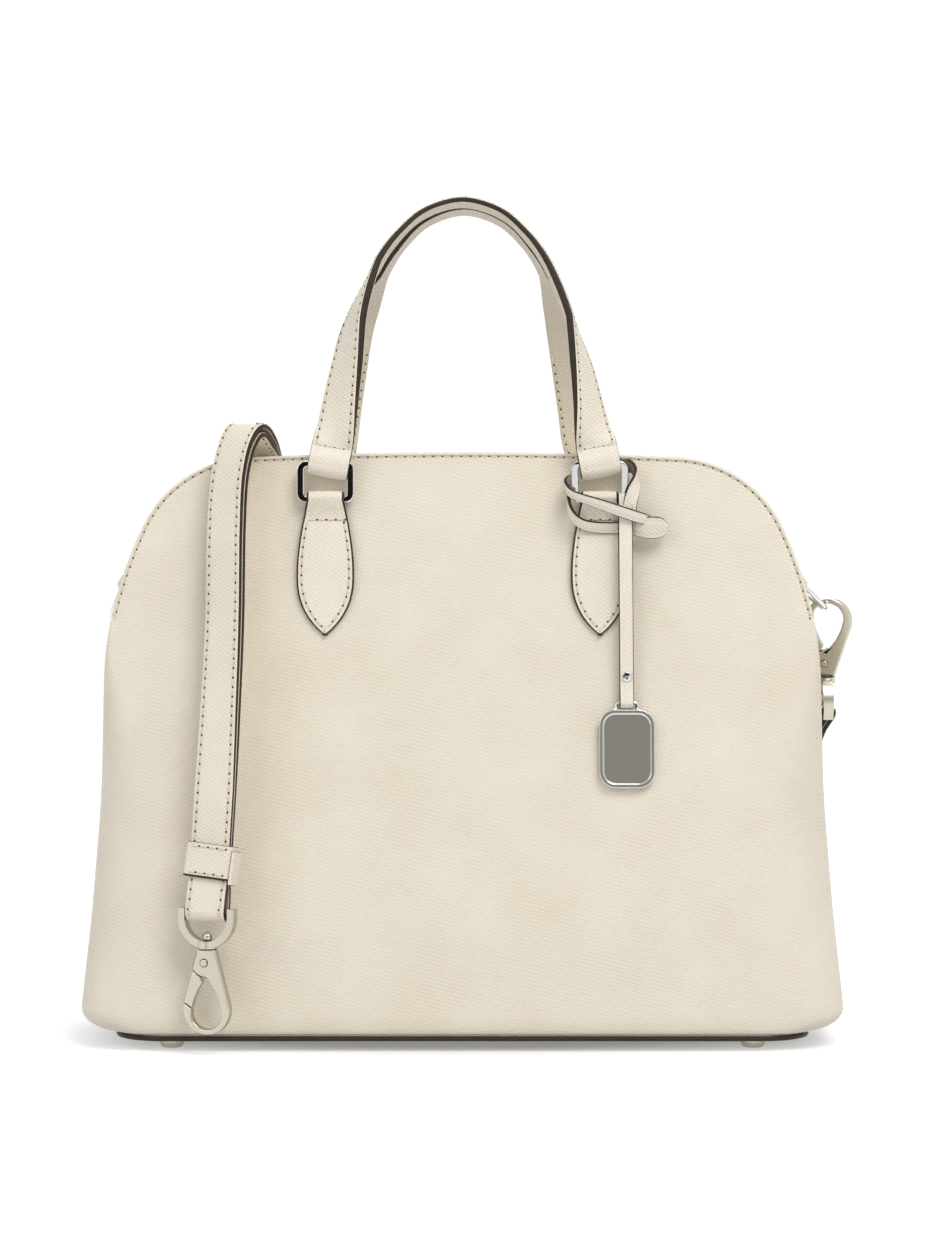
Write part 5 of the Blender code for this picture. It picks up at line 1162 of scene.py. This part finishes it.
def handle_half(side, turns):
    """Right half of a handle from the inner end of its loop to the top, as (point, face, thickness)."""
    thin = HANDLE_LOOP_THICKNESS
    wrap = RING_BAR_REACH + GAP * 1.5 + thin / 2
    loop_z = RING_TOP_BAR_Z - HANDLE_LOOP_DROP
    half_pair = (thin + GAP) / 2
    above = RING_TOP_BAR_Z + RING_BAR_REACH
    front = Vector((0.0, side, 0.0))
    half = []

    def add(y, z, looks):
        half.append((Vector((RING_X, side * (RING_AXIS_Y + y), z)), looks, thin))
    for y, z in ((-half_pair, HANDLE_LOOP_TOP_Z + 0.001), (-half_pair, HANDLE_LOOP_TOP_Z - 0.002), (-wrap, above)):
        add(y, z, -front)
    for angle in turning(-90, 90, 15):
        looks = Vector((0.0, side * math.sin(angle), -math.cos(angle)))
        add(wrap * math.sin(angle), loop_z - wrap * math.cos(angle), looks)
    for y, z in ((wrap, above), (half_pair, HANDLE_LOOP_TOP_Z - 0.002), (half_pair, HANDLE_LOOP_TOP_Z)):
        add(y, z, front)
    lean = Matrix.Rotation(-HANDLE_LOOP_LEAN, 3, "Y")
    bar = Vector((RING_X, 0.0, RING_TOP_BAR_Z))
    slid = bar - Vector((HANDLE_LOOP_IN, 0.0, 0.0))
    half = [(slid + lean @ (point - bar), lean @ looks, thin) for point, looks, thin in half]
    swell = (HANDLE_THICKNESS - thin) / 2
    low = HANDLE_LINE[0][1]
    knots = []
    for (x, z), turn in zip(HANDLE_LINE, turns):
        share = (z - low) / (HANDLE_APEX_Z - low)
        y = RING_AXIS_Y + half_pair - swell / 2 + (HANDLE_APEX_Y - RING_AXIS_Y) * share ** 1.3
        knots.append((Vector((x, side * y, z)), math.radians(turn)))
    knots.append((Vector((0.0, side * HANDLE_APEX_Y, HANDLE_APEX_Z)), math.radians(90.0)))
    for i, (knot, turn) in enumerate(knots):
        after = knots[i + 1][0] if i + 1 < len(knots) else Vector((-knots[i - 1][0].x, *knots[i - 1][0].yz))
        before = knots[i - 1][0] if i else half[-1][0]
        along = (after - before).normalized()
        outward = Vector((along.z, 0.0, -along.x)).normalized()
        swollen = ease(knot.z, HANDLE_LOOP_TOP_Z, 0.330) * (1.0 - ease(knot.z, 0.360, 0.405))
        thickness = HANDLE_THINNEST + (HANDLE_THICKNESS - HANDLE_THINNEST) * swollen
        half.append((knot, front * math.cos(turn) + outward * math.sin(turn), thickness))
    return half


def handle_shift(side, z):
    """How far a handle stands to the right of its drawn line at a height."""
    if side < 0:
        return HANDLE_SLIP * (1.0 - ease(z, 0.320, 0.355))
    lean = HANDLE_SLIP - (BACK_HANDLE_LEAN + HANDLE_SLIP) * (1.0 - ease(z, 0.345, 0.385))
    return lean * ease(z, 0.283, 0.291)


def carry_handle(row, side, left_turns, right_turns):
    """One handle, its sewing along both edges and across above each loop."""
    left = [(Vector((-p.x, *p.yz)), Vector((-f.x, *f.yz)), t) for p, f, t in handle_half(side, left_turns)]
    path = left + list(reversed(handle_half(side, right_turns)[:-1]))
    stations = finer([(p + Vector((handle_shift(side, p.z), 0.0, 0.0)), f, HANDLE_WIDTH, t) for p, f, t in path], 6)
    piece = leather_strap("handle_strap_" + row, stations, SHADED_UNDER_LEATHER, 0.0004)
    body = "carry_handle_" + row
    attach(piece, body)
    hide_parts("handle_" + row)
    first = next(i for i, s in enumerate(stations) if s[0][2] > HANDLE_SEWN_Z and i > 100)
    last = len(stations) - first
    low = next(i for i in range(first, last) if stations[i][0][2] > UNDER_SEWN_Z)
    lines = [strap_rail(stations, edge, first, last) for edge in (-1, 1)]
    for start, stop in ((first, low), (len(stations) - low, last)):
        lines += [strap_rail(stations, edge, start, stop, below=True) for edge in (-1, 1)]
    frames = strap_frames(stations)
    reach = HANDLE_WIDTH / 2 - STITCH_IN
    for i in (first, last - 1):
        middle, across, face = frames[i]
        over = face * (stations[i][3] / 2 + 0.0004)
        lines.append([(middle + across * u + over, face) for u in (-reach, 0.0, reach)])
    sew("handle_stitches_" + row, lines, body)


carry_handle("front", -1, FRONT_LEFT_TURNS, FRONT_RIGHT_TURNS)
carry_handle("back", 1, BACK_TURNS, BACK_TURNS)


# Side rings: a welded D of 2.5 mm wire, polished. Each hangs in a short loop of leather that is folded round
# its straight bar and sewn on the gusset.

D_AXIS_Z = 0.2195
D_WIRE_RADIUS = 0.00125
D_DEPTH = 0.0185
D_HALF_WIDTH = 0.0100
D_CORNER = 0.0025
D_ANGLES = {"left": math.radians(24.0), "right": math.radians(48.0)}
D_TAB_WIDTH = 0.0160
D_TAB_THICKNESS = 0.0020
D_TAB_LENGTH = 0.0120
D_STITCH_Y = 0.0055
D_STANDOFF = GAP + D_TAB_THICKNESS + GAP + D_WIRE_RADIUS


def circle(centre, first, second, radius, steps):
    """Points evenly round a circle in the plane of two ways square to each other."""
    turns = [math.tau * n / steps for n in range(steps)]
    return [centre + first * (radius * math.cos(turn)) + second * (radius * math.sin(turn)) for turn in turns]


def round_wire(name, points, radius, sides, finish):
    """Closed ring of round wire bent along points."""
    rows = []
    for i, point in enumerate(points):
        along = (points[(i + 1) % len(points)] - points[i - 1]).normalized()
        over = along.cross(Vector((0.30, 0.91, 0.29))).normalized()
        ring = circle(point, over, over.cross(along), radius, sides)
        rows.append(ring + ring[:1])
    piece = laid_grid(name, rows + rows[:1], finish)
    close_up(piece, 60.0)
    return piece


def d_outline():
    """Points of the D as (across, away from its straight bar)."""
    points = []
    for n in range(9):
        turn = math.radians(90.0 * n / 8)
        points.append((D_HALF_WIDTH - D_CORNER + D_CORNER * math.sin(turn), D_CORNER - D_CORNER * math.cos(turn)))
    for n in range(1, 32):
        turn = math.pi * n / 32
        points.append((D_HALF_WIDTH * math.cos(turn), D_CORNER + (D_DEPTH - D_CORNER) * math.sin(turn)))
    for n in range(9):
        turn = math.radians(90.0 * n / 8)
        points.append((-D_HALF_WIDTH + D_CORNER - D_CORNER * math.cos(turn), D_CORNER - D_CORNER * math.sin(turn)))
    return points


def side_ring(hand, side):
    """One D ring and the leather loop that holds it."""
    x, z, lean = outline(length_at(D_AXIS_Z), GUSSET_INSET)
    away = Vector((side * math.sin(lean), 0.0, math.cos(lean)))
    down = Vector((side * math.cos(lean), 0.0, -math.sin(lean)))
    axis = Vector((side * x, 0.0, z)) + away * D_STANDOFF
    wrap = D_WIRE_RADIUS + GAP + D_TAB_THICKNESS / 2
    first = GAP + D_TAB_THICKNESS / 2 - D_STANDOFF
    second = first + D_TAB_THICKNESS + GAP
    stations = []

    def add(along, off, looks):
        stations.append((axis + down * along + away * off, looks, D_TAB_WIDTH, D_TAB_THICKNESS))
    for along in (-D_TAB_LENGTH, -D_TAB_LENGTH / 2):
        add(along, first, -away)
    for turn in turning(-90, 90, 15):
        add(wrap * math.cos(turn), wrap * math.sin(turn), away * math.sin(turn) + down * math.cos(turn))
    add(-D_TAB_LENGTH * 0.35, (wrap + second) / 2, away)
    add(-D_TAB_LENGTH * 0.75, second, away)
    add(-D_TAB_LENGTH, second, away)
    loop = leather_strap("side_loop_" + hand, finer(stations, 2), STRAP_LEATHER, 0.0001, paint=STRAP_LEATHER)
    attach(loop, "bag")
    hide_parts("d_ring_tab_" + hand)
    seam = axis - down * (D_TAB_LENGTH * 0.8) + away * (second + D_TAB_THICKNESS / 2)
    line = [(seam + Vector((0.0, y, 0.0)), away) for y in (-D_STITCH_Y, D_STITCH_Y)]
    sew("side_loop_stitches_" + hand, [line], "bag")
    fall = Vector((side * math.sin(D_ANGLES[hand]), 0.0, -math.cos(D_ANGLES[hand])))
    wire = [axis + Vector((0.0, y, 0.0)) + fall * depth for y, depth in d_outline()]
    ring = round_wire("side_ring_" + hand, wire, D_WIRE_RADIUS, 20, BRIGHT_CHROME)
    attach(ring, frame["nodes"]["d_ring_" + hand]["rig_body"])
    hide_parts("d_ring_" + hand)


side_ring("left", -1)
side_ring("right", 1)


# Snap hooks: die-cast drop-shaped frames with a sprung gate on a rivet, a swivel stem and a half-round yoke.
# Thin dark rings paint the shade in the groove round each rivet's head and in the gap between frame and yoke.

HOOK_THICKNESS = 0.0044
HOOK_NECK_DROP = 0.0174
HOOK_RIVET_HEAD_RADIUS = 0.0019
RIVET_SHADE_WIRE = 0.00022
GAP_SHADE_RADIUS = 0.0040
GAP_SHADE_WIRE = 0.00050
GROOVE_STEPS = 28
FRONT_HOOK_AT = Vector((-0.1208, -0.0757, 0.0638))
SIDE_HOOK_AT = Vector((0.1844, 0.0155, 0.1573))
# Bar, way from it to the eye, and the way the flat side looks, of each hook
HOOKS = {"front": (FRONT_HOOK_AT, (0.0, 0.0, -1.0), (-0.292, -0.956, 0.0)),
         "side": (SIDE_HOOK_AT, (0.0, -0.276, 0.961), (-0.28, -0.92, -0.26))}
# Painted shade in the groove round a rivet's head and in the gap under the yoke: thin, dull and dark metal whose
# roughness wanders in spots of about 1 mm
GAP_SHADE_PAINT = worn(new_finish("painted_gap_shade", "#3E3A33", 0.55, 0.6)[0], {"Scale": 900.0}, 0.45, 0.70)


def hook_painted_shades(hand):
    """Painted shade: a dark line round the rivet's head on each side, and a dark ring in the gap between yoke and
    frame.
    """
    bar, down, flat = HOOKS[hand]
    down, flat = Vector(down).normalized(), Vector(flat).normalized()
    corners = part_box("hook_rivet_" + hand)
    middle = (Vector(corners[0]) + Vector(corners[1])) / 2
    beside = down.cross(flat)
    head = flat * (HOOK_THICKNESS / 2)
    for name, centre, over, radius, wire in (
            ("rivet_shade_a_", middle + head, down, HOOK_RIVET_HEAD_RADIUS, RIVET_SHADE_WIRE),
            ("rivet_shade_b_", middle - head, down, HOOK_RIVET_HEAD_RADIUS, RIVET_SHADE_WIRE),
            ("swivel_gap_shade_", bar + down * HOOK_NECK_DROP, flat, GAP_SHADE_RADIUS, GAP_SHADE_WIRE)):
        points = circle(centre, beside, over, radius, GROOVE_STEPS)
        line = round_wire(name + hand, points, wire, 8, GAP_SHADE_PAINT)
        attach(line, frame["nodes"]["hook_body_" + hand]["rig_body"])


for hand in HOOKS:
    cast_metal("snap_yoke_" + hand, "hook_yoke_" + hand, 0.0005, clamp=True)
    cast_metal("snap_frame_" + hand, "hook_body_" + hand, 0.0008)
    cast_metal("snap_gate_" + hand, "hook_gate_" + hand, 0.0006)
    cast_metal("snap_rivet_" + hand, "hook_rivet_" + hand, 0.0002, 2)
    hook_painted_shades(hand)


# Shoulder strap: one strap 20 mm wide, doubled from the front hook over the top of the bag to the adjuster,
# single from there behind the bag to the side hook. Leather outside, brown backing inside, edges painted.

STRAP_WIDTH = 0.0200
STRAP_THICKNESS = 0.0025
STRAP_STEP = 0.0060
FRONT_HOOK_YAW = math.radians(-17.0)
SIDE_HOOK_TILT = math.radians(16.0)
HOOK_BAR_RADIUS = 0.0015
STRAP_END_LENGTH = 0.0220
STRAP_ARCH = 0.0020
STRAP_ARCH_Y = -0.0270
STRAP_ARCH_SPREAD = 0.0130
LOOP_SPREAD = 0.0012
ADJUSTER_BAR_RADIUS = 0.0011
# Middle of the doubled stretch, from the front hook over the top to the adjuster, with the way its face looks
STRAP_DOUBLE = (
    ((-0.1203, -0.0743, 0.0720), (-0.29, -0.957, 0.0)), ((-0.1190, -0.0716, 0.0960), (-0.29, -0.957, 0.0)),
    ((-0.1177, -0.0689, 0.1200), (-0.29, -0.957, 0.0)), ((-0.1160, -0.0635, 0.1560), (-0.42, -0.908, 0.0)),
    ((-0.1146, -0.0550, 0.2000), (-0.50, -0.87, 0.0)), ((-0.1143, -0.0485, 0.2450), (-0.52, -0.85, 0.0)),
    ((-0.1130, -0.0455, 0.2700), (-0.55, -0.80, 0.25)), ((-0.1098, -0.0415, 0.2860), (-0.45, -0.62, 0.64)),
    ((-0.1060, -0.0345, 0.2938), (0.0, 0.0, 1.0)), ((-0.1028, -0.0245, 0.2905), (0.15, 0.25, 0.95)),
    ((-0.1011, -0.0130, 0.2862), (0.05, 0.25, 0.97)), ((-0.1014, 0.0030, 0.2845), (0.0, 0.0, 1.0)),
    ((-0.1022, 0.0180, 0.2845), (0.0, 0.0, 1.0)), ((-0.1028, 0.0300, 0.2846), (0.05, 0.35, 0.94)),
    ((-0.1018, 0.0400, 0.2778), (0.15, 0.90, 0.40)), ((-0.0988, 0.0455, 0.2610), (0.17, 0.97, 0.15)),
    ((-0.0952, 0.0495, 0.2350), (0.20, 0.97, 0.10)), ((-0.0920, 0.0540, 0.2000), (0.35, 0.93, 0.10)),
)
# Middle of the single stretch, from the adjuster down behind the bag and up to the side hook
STRAP_SINGLE = (
    ((-0.0880, 0.0600, 0.1500), (0.80, 0.60, 0.10)), ((-0.0780, 0.0655, 0.1000), (1.00, 0.20, 0.25)),
    ((-0.0580, 0.0700, 0.0580), (0.80, 0.0, 0.60)), ((-0.0250, 0.0740, 0.0320), (0.40, 0.0, 0.92)),
    ((0.0200, 0.0755, 0.0240), (0.0, 0.0, 1.0)), ((0.0600, 0.0745, 0.0320), (-0.25, 0.0, 0.97)),
    ((0.1000, 0.0730, 0.0480), (-0.30, -0.20, 0.93)), ((0.1280, 0.0700, 0.0660), (-0.35, -0.50, 0.78)),
    ((0.1500, 0.0665, 0.0870), (-0.40, -0.75, 0.50)), ((0.1645, 0.0595, 0.1085), (-0.62, -0.72, 0.25)),
    ((0.1738, 0.0445, 0.1285), (-0.86, -0.48, 0.12)), ((0.1802, 0.0225, 0.1435), (-0.98, -0.10, 0.15)),
)


def strap_middle_line():
    """Sampled middle line of the whole strap, its faces square to it, and where the doubled stretch ends."""
    route = STRAP_DOUBLE + STRAP_SINGLE
    knots = [FRONT_HOOK_AT] + [Vector(point) for point, _ in route] + [SIDE_HOOK_AT]
    looks = [Vector(face).normalized() for _, face in route]
    points, faces = [], []
    for i in range(len(route) - 1):
        if i == len(STRAP_DOUBLE) - 1:
            split = len(points)
        count = max(int((knots[i + 2] - knots[i + 1]).length / STRAP_STEP + 0.5), 1)
        for n in range(count):
            points.append(curve_point(*knots[i:i + 4], n / count))
            faces.append(looks[i].lerp(looks[i + 1], n / count).normalized())
    points.append(knots[-2])
    faces.append(looks[-1])
    squared = []
    for i, face in enumerate(faces):
        along = (points[min(i + 1, len(points) - 1)] - points[max(i - 1, 0)]).normalized()
        squared.append((face - along * face.dot(along)).normalized())
    return points, squared, split


def loop_directions(end, bar, bar_line, looks):
    """Way from a hook's bar to the strap, and the face there, both square to the bar."""
    away = end - bar
    away = (away - bar_line * away.dot(bar_line)).normalized()
    face = away.cross(bar_line)
    return away, face if face.dot(looks) > 0.0 else -face


def shoulder_strap():
    """The strap from its end at the adjuster, round the front hook, back over the bag to the side hook."""
    points, faces, split = strap_middle_line()
    half_pair = (STRAP_THICKNESS + GAP) / 2
    spread = ADJUSTER_BAR_RADIUS + GAP + STRAP_THICKNESS / 2
    wrap = HOOK_BAR_RADIUS + GAP + STRAP_THICKNESS / 2
    stations = []

    def pair_offset(i):
        near = max(1.0 - abs(i - split) / 3.0, 0.0)
        return half_pair + (spread - half_pair) * near + LOOP_SPREAD * max(1.0 - i / 1.5, 0.0)

    def add(point, looks):
        stations.append((Vector(point), Vector(looks), STRAP_WIDTH, STRAP_THICKNESS))

    def round_bar(bar, start, end):
        for angle in turning(0, 180, 15):
            out = start * math.cos(angle) - end * math.sin(angle)
            add(bar + out * wrap, out)
    for i in range(split - 1, -1, -1):
        add(points[i] - faces[i] * pair_offset(i), -faces[i])
    front_bar = Matrix.Rotation(FRONT_HOOK_YAW, 3, "Z") @ Vector((1.0, 0.0, 0.0))
    up, front = loop_directions(points[0], FRONT_HOOK_AT, front_bar, faces[0])
    round_bar(FRONT_HOOK_AT, -front, up)
    turn_end = len(stations)
    for i in range(len(points)):
        arch = STRAP_ARCH * math.exp(-((points[i].y - STRAP_ARCH_Y) / STRAP_ARCH_SPREAD) ** 2) if i < split else 0.0
        add(points[i] + faces[i] * (arch + (pair_offset(i) if i < split + 3 else half_pair)), faces[i])
    single_end = len(stations)
    over = Matrix.Rotation(math.pi + SIDE_HOOK_TILT, 3, "X") @ Matrix.Rotation(math.pi / 2, 3, "Z")
    down, face = loop_directions(points[-1], SIDE_HOOK_AT, over @ Vector((1.0, 0.0, 0.0)), faces[-1])
    round_bar(SIDE_HOOK_AT, face, down)
    for i in range(1, 4):
        share = i / 3 * STRAP_END_LENGTH / (SIDE_HOOK_AT - points[-1]).length
        add(SIDE_HOOK_AT.lerp(points[-1], share) - face * half_pair, -face)
    fine = finer(stations, 2)
    piece = leather_strap("strap_leather", fine, STRAP_LINING, 0.0002)
    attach(piece, "bag")
    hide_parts("shoulder_strap")
    lines = []
    for first, last in ((2, turn_end - 13), (turn_end - 4, single_end)):
        lines += [strap_rail(fine, edge, first * 2, last * 2) for edge in (-1, 1)]
    sew("strap_stitches", lines, "bag")
    return points, faces


strap_points, strap_faces = shoulder_strap()
cast_metal("strap_slide", "strap_adjuster", 0.0001, 1)


# Strap keeper: a leather band round both layers of the strap, its ends lapped at the side and sewn across
# its face near both of its edges. It sits a little aslant.

KEEPER_START = 0.0076
KEEPER_LENGTH = 0.0160
KEEPER_THICKNESS = 0.0014
KEEPER_CLEARANCE = 0.0006
KEEPER_TILT = math.radians(4.5)
KEEPER_HALF_X = STRAP_WIDTH / 2 + KEEPER_CLEARANCE
KEEPER_HALF_Y = STRAP_THICKNESS + GAP / 2 + KEEPER_CLEARANCE
# Share of the wall from inside to outside, and of half the length, of each ring of points
KEEPER_RINGS = ((0.0, -1.0), (0.0, 1.0), (0.25, 1.03), (0.75, 1.03), (1.0, 1.0), (1.0, -0.90), (1.0, -1.0),
                (0.75, -1.03), (0.25, -1.03), (0.0, -1.0))
# Only the listed rows stay leather. The outer face's lowest strip, from -0.90 to -1.0 of the half length, takes the
# dark edge paint: partly the painted lower edge, partly painted shade under the keeper.
KEEPER_FACES = (0, 1, 4)
KEEPER_STITCHES = (-0.0060, 0.0064)
KEEPER_LAP_THICKNESS = 0.0011
KEEPER_LAP_DROP = 0.0020


def strap_keeper():
    """Keeper as a wall of leather round the strap, two rows of stitches on its face, and its lap."""
    start = strap_points[0]
    way = (Vector(STRAP_DOUBLE[2][0]) - start).normalized()
    middle = start + way * (KEEPER_START + KEEPER_LENGTH / 2)
    nearest = min(range(len(strap_points)), key=lambda i: (strap_points[i] - middle).length)
    face = strap_faces[nearest]
    level = way.cross(face).normalized()
    across = level * math.cos(KEEPER_TILT) - way * math.sin(KEEPER_TILT)
    along = way * math.cos(KEEPER_TILT) + level * math.sin(KEEPER_TILT)
    side_x = KEEPER_HALF_X + KEEPER_THICKNESS
    side_y = KEEPER_HALF_Y + KEEPER_THICKNESS
    outer = rounded_rectangle(side_x, side_y, KEEPER_THICKNESS + KEEPER_CLEARANCE, 6)
    inner = rounded_rectangle(KEEPER_HALF_X, KEEPER_HALF_Y, KEEPER_CLEARANCE, 6)
    out = across.cross(along)
    rows = []
    for share, place in KEEPER_RINGS:
        ring = []
        for (ox, oy), (ix, iy) in zip(outer, inner):
            u = ix + (ox - ix) * share
            v = iy + (oy - iy) * share
            ring.append(middle + across * u + out * v + along * (place * (KEEPER_LENGTH / 2)))
        rows.append(ring + ring[:1])
    piece = laid_grid("keeper_band", rows, STRAP_LEATHER, EDGE_PAINT)
    columns = len(rows[0]) - 1
    for polygon in piece.data.polygons:
        polygon.material_index = 0 if polygon.index // columns in KEEPER_FACES else 1
    close_up(piece, 50.0)
    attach(piece, "keeper")
    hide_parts("strap_keeper")
    front = out if out.dot(face) > 0.0 else -out
    lines = []
    for place in KEEPER_STITCHES:
        lines.append([(middle + across * u + front * (side_y + 0.0001) + along * place, front)
                      for u in (-KEEPER_HALF_X * 0.92, 0.0, KEEPER_HALF_X * 0.92)])
    sew("keeper_stitches", lines, "keeper")
    lap = [(-0.0003, side_y - 0.0002, front + across * 0.6), (0.0005, side_y - 0.0008, front + across * 2),
           (0.0007, side_y - 0.0018, across), (0.0007, 0.0, across), (0.0007, 0.0010 - side_y, across),
           (0.0004, -side_y, across - front), (-0.0008, -side_y - 0.0006, -front)]
    stations = [(middle + across * (side_x + u) + front * v - along * KEEPER_LAP_DROP, looks, KEEPER_LENGTH,
                 KEEPER_LAP_THICKNESS) for u, v, looks in lap]
    piece = leather_strap("keeper_lap", finer(stations, 3), STRAP_LEATHER, 0.0, rim=0.0004)
    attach(piece, "keeper")


strap_keeper()


# Lanyard: a narrow leather thong 7 mm wide that wraps the right front ring's side bar, hangs doubled from it,
# and is held by a rivet above the tag. A second thong lies round it as a loose loop.

RING_WINDOW = 0.0208
RING_SIDE_BAR = 0.0037
RING_DEPTH = 0.0030
LANYARD_WIDTH = 0.0070
LANYARD_THICKNESS = 0.0016
LANYARD_EDGE = 0.0004
LANYARD_TOP_Z = 0.2620
LANYARD_BOTTOM = Vector((0.0796, -0.0472, 0.1620))
LANYARD_RIVET_UP = 0.0075
BAIL_RADIUS = 0.0009
# Middle line and way out of the thong that comes round the ring's side bar and turns down into the drop
WRAP_LINE = (
    ((0.0806, -0.0416, 0.2488), (0.0, -1.0, 0.0)), ((0.0811, -0.0418, 0.2550), (0.0, -1.0, 0.0)),
    ((0.0819, -0.0419, 0.2606), (0.15, -1.0, 0.0)), ((0.0833, -0.0413, 0.2655), (0.45, -0.90, 0.0)),
    ((0.0846, -0.0396, 0.2700), (0.85, -0.50, 0.0)), ((0.0845, -0.0371, 0.2740), (1.0, 0.10, 0.20)),
    ((0.0829, -0.0346, 0.2769), (0.75, 0.50, 0.50)), ((0.0802, -0.0328, 0.2776), (0.25, 0.90, 0.30)),
    ((0.0772, -0.0324, 0.2768), (0.0, 1.0, 0.0)),
)
# The loose loop in two runs from behind the ring, with its width: over the drop into the slit, and behind the
# drop to the round end
LOOP_FRONT = (
    ((0.0562, -0.0335, 0.2714), (-0.3, 0.9, 0.0), 0.0054), ((0.0523, -0.0365, 0.2702), (-0.8, 0.5, -0.3), 0.0052),
    ((0.0507, -0.0400, 0.2679), (-1.0, -0.1, -0.4), 0.0048), ((0.0516, -0.0430, 0.2648), (-0.7, -0.7, -0.4), 0.0044),
    ((0.0549, -0.0446, 0.2624), (-0.2, -1.0, -0.45), 0.0044), ((0.0617, -0.0453, 0.2600), (0.0, -1.0, -0.45), 0.0048),
    ((0.0694, -0.0458, 0.2574), (0.0, -1.0, -0.42), 0.0054), ((0.0772, -0.0459, 0.2547), (0.0, -1.0, -0.40), 0.0056),
    ((0.0831, -0.0453, 0.2527), (0.1, -1.0, -0.35), 0.0056), ((0.0870, -0.0439, 0.2516), (0.2, -1.0, -0.30), 0.0054),
    ((0.0897, -0.0419, 0.2508), (0.3, -1.0, -0.25), 0.0050), ((0.0915, -0.0402, 0.2502), (0.4, -1.0, -0.20), 0.0040),
)
LOOP_BACK = (
    ((0.1000, -0.0404, 0.2472), (-0.1, -1.0, -0.25), 0.0014), ((0.0993, -0.0406, 0.2472), (-0.1, -1.0, -0.25), 0.0056),
    ((0.0978, -0.0409, 0.2471), (-0.1, -1.0, -0.25), 0.0088), ((0.0952, -0.0413, 0.2470), (-0.1, -1.0, -0.25), 0.0107),
    ((0.0918, -0.0416, 0.2470), (0.0, -1.0, -0.25), 0.0111), ((0.0884, -0.0412, 0.2470), (0.1, -1.0, -0.25), 0.0106),
    ((0.0848, -0.0402, 0.2470), (0.1, -1.0, -0.25), 0.0086), ((0.0802, -0.0389, 0.2470), (0.0, -1.0, -0.30), 0.0062),
    ((0.0752, -0.0386, 0.2470), (0.0, -1.0, -0.35), 0.0058), ((0.0669, -0.0391, 0.2472), (0.0, -1.0, -0.45), 0.0058),
    ((0.0600, -0.0400, 0.2483), (-0.2, -1.0, -0.50), 0.0056), ((0.0551, -0.0408, 0.2512), (-0.6, -0.8, -0.40), 0.0054),
    ((0.0524, -0.0405, 0.2562), (-1.0, -0.3, -0.20), 0.0052), ((0.0520, -0.0390, 0.2621), (-1.0, 0.2, 0.0), 0.0054),
    ((0.0537, -0.0372, 0.2670), (-0.6, 0.8, 0.0), 0.0054),
)


def thong(name, line):
    """Narrow thong laid along a line of (point, way out, width)."""
    stations = [(Vector(point), Vector(looks), width, LANYARD_THICKNESS) for point, looks, width in line]
    return leather_strap(name, finer(stations, 8), STRAP_LINING, 0.0001, rim=LANYARD_EDGE, bare=0)


def lanyard_drop():
    """Doubled thong from the wrap down to the tag's bail."""
    bar_x = RING_X + (RING_WINDOW + RING_SIDE_BAR) / 2
    half_y = RING_DEPTH / 2 + GAP
    thickness = LANYARD_THICKNESS
    top = Vector((bar_x, -(RING_AXIS_Y + half_y + thickness * 2 + GAP), LANYARD_TOP_Z))
    down = (LANYARD_BOTTOM - top).normalized()
    face = (Vector((0.0, -1.0, 0.0)) + down * down.y).normalized()
    half_pair = (thickness + GAP) / 2
    fold = BAIL_RADIUS + GAP + thickness / 2
    length = (LANYARD_BOTTOM - top).length
    run = (length * 0.35, length * 0.7, length - LANYARD_RIVET_UP)
    stations = []

    def add(along, off, looks):
        stations.append((top + down * along + face * off, looks, LANYARD_WIDTH, thickness))
    for angle in turning(-90, 90, 45):
        away = face * math.sin(angle) - down * math.cos(angle)
        add(half_pair * (1.0 - math.cos(angle)), half_pair * math.sin(angle), away)
    for along in run:
        add(along, half_pair, face)
    for angle in turning(80, -80, -20):
        add(length + fold * math.cos(angle), fold * math.sin(angle), face * math.sin(angle) + down * math.cos(angle))
    for along in reversed(run):
        add(along, -half_pair, -face)
    piece = leather_strap("thong_drop", finer(stations, 4, closed=True), STRAP_LEATHER, 0.0001, closed=True,
                          rim=LANYARD_EDGE, bare=0)
    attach(piece, "lanyard")
    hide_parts("lanyard_drop")


wrap = thong("thong_wrap", [(point, looks, LANYARD_WIDTH) for point, looks in WRAP_LINE])
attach(wrap, frame["nodes"]["lanyard_wrap"]["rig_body"])
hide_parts("lanyard_wrap")
lanyard_drop()
for name, line in (("thong_loop_front", LOOP_FRONT), ("thong_loop_back", LOOP_BACK)):
    piece = thong(name, line)
    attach(piece, "bag")
    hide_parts("lanyard_loop")
cast_metal("thong_rivet", "lanyard_rivet", 0.0002, 2, polished=True)
cast_metal("hanging_tag", "tag", 0.0004, polished=True)
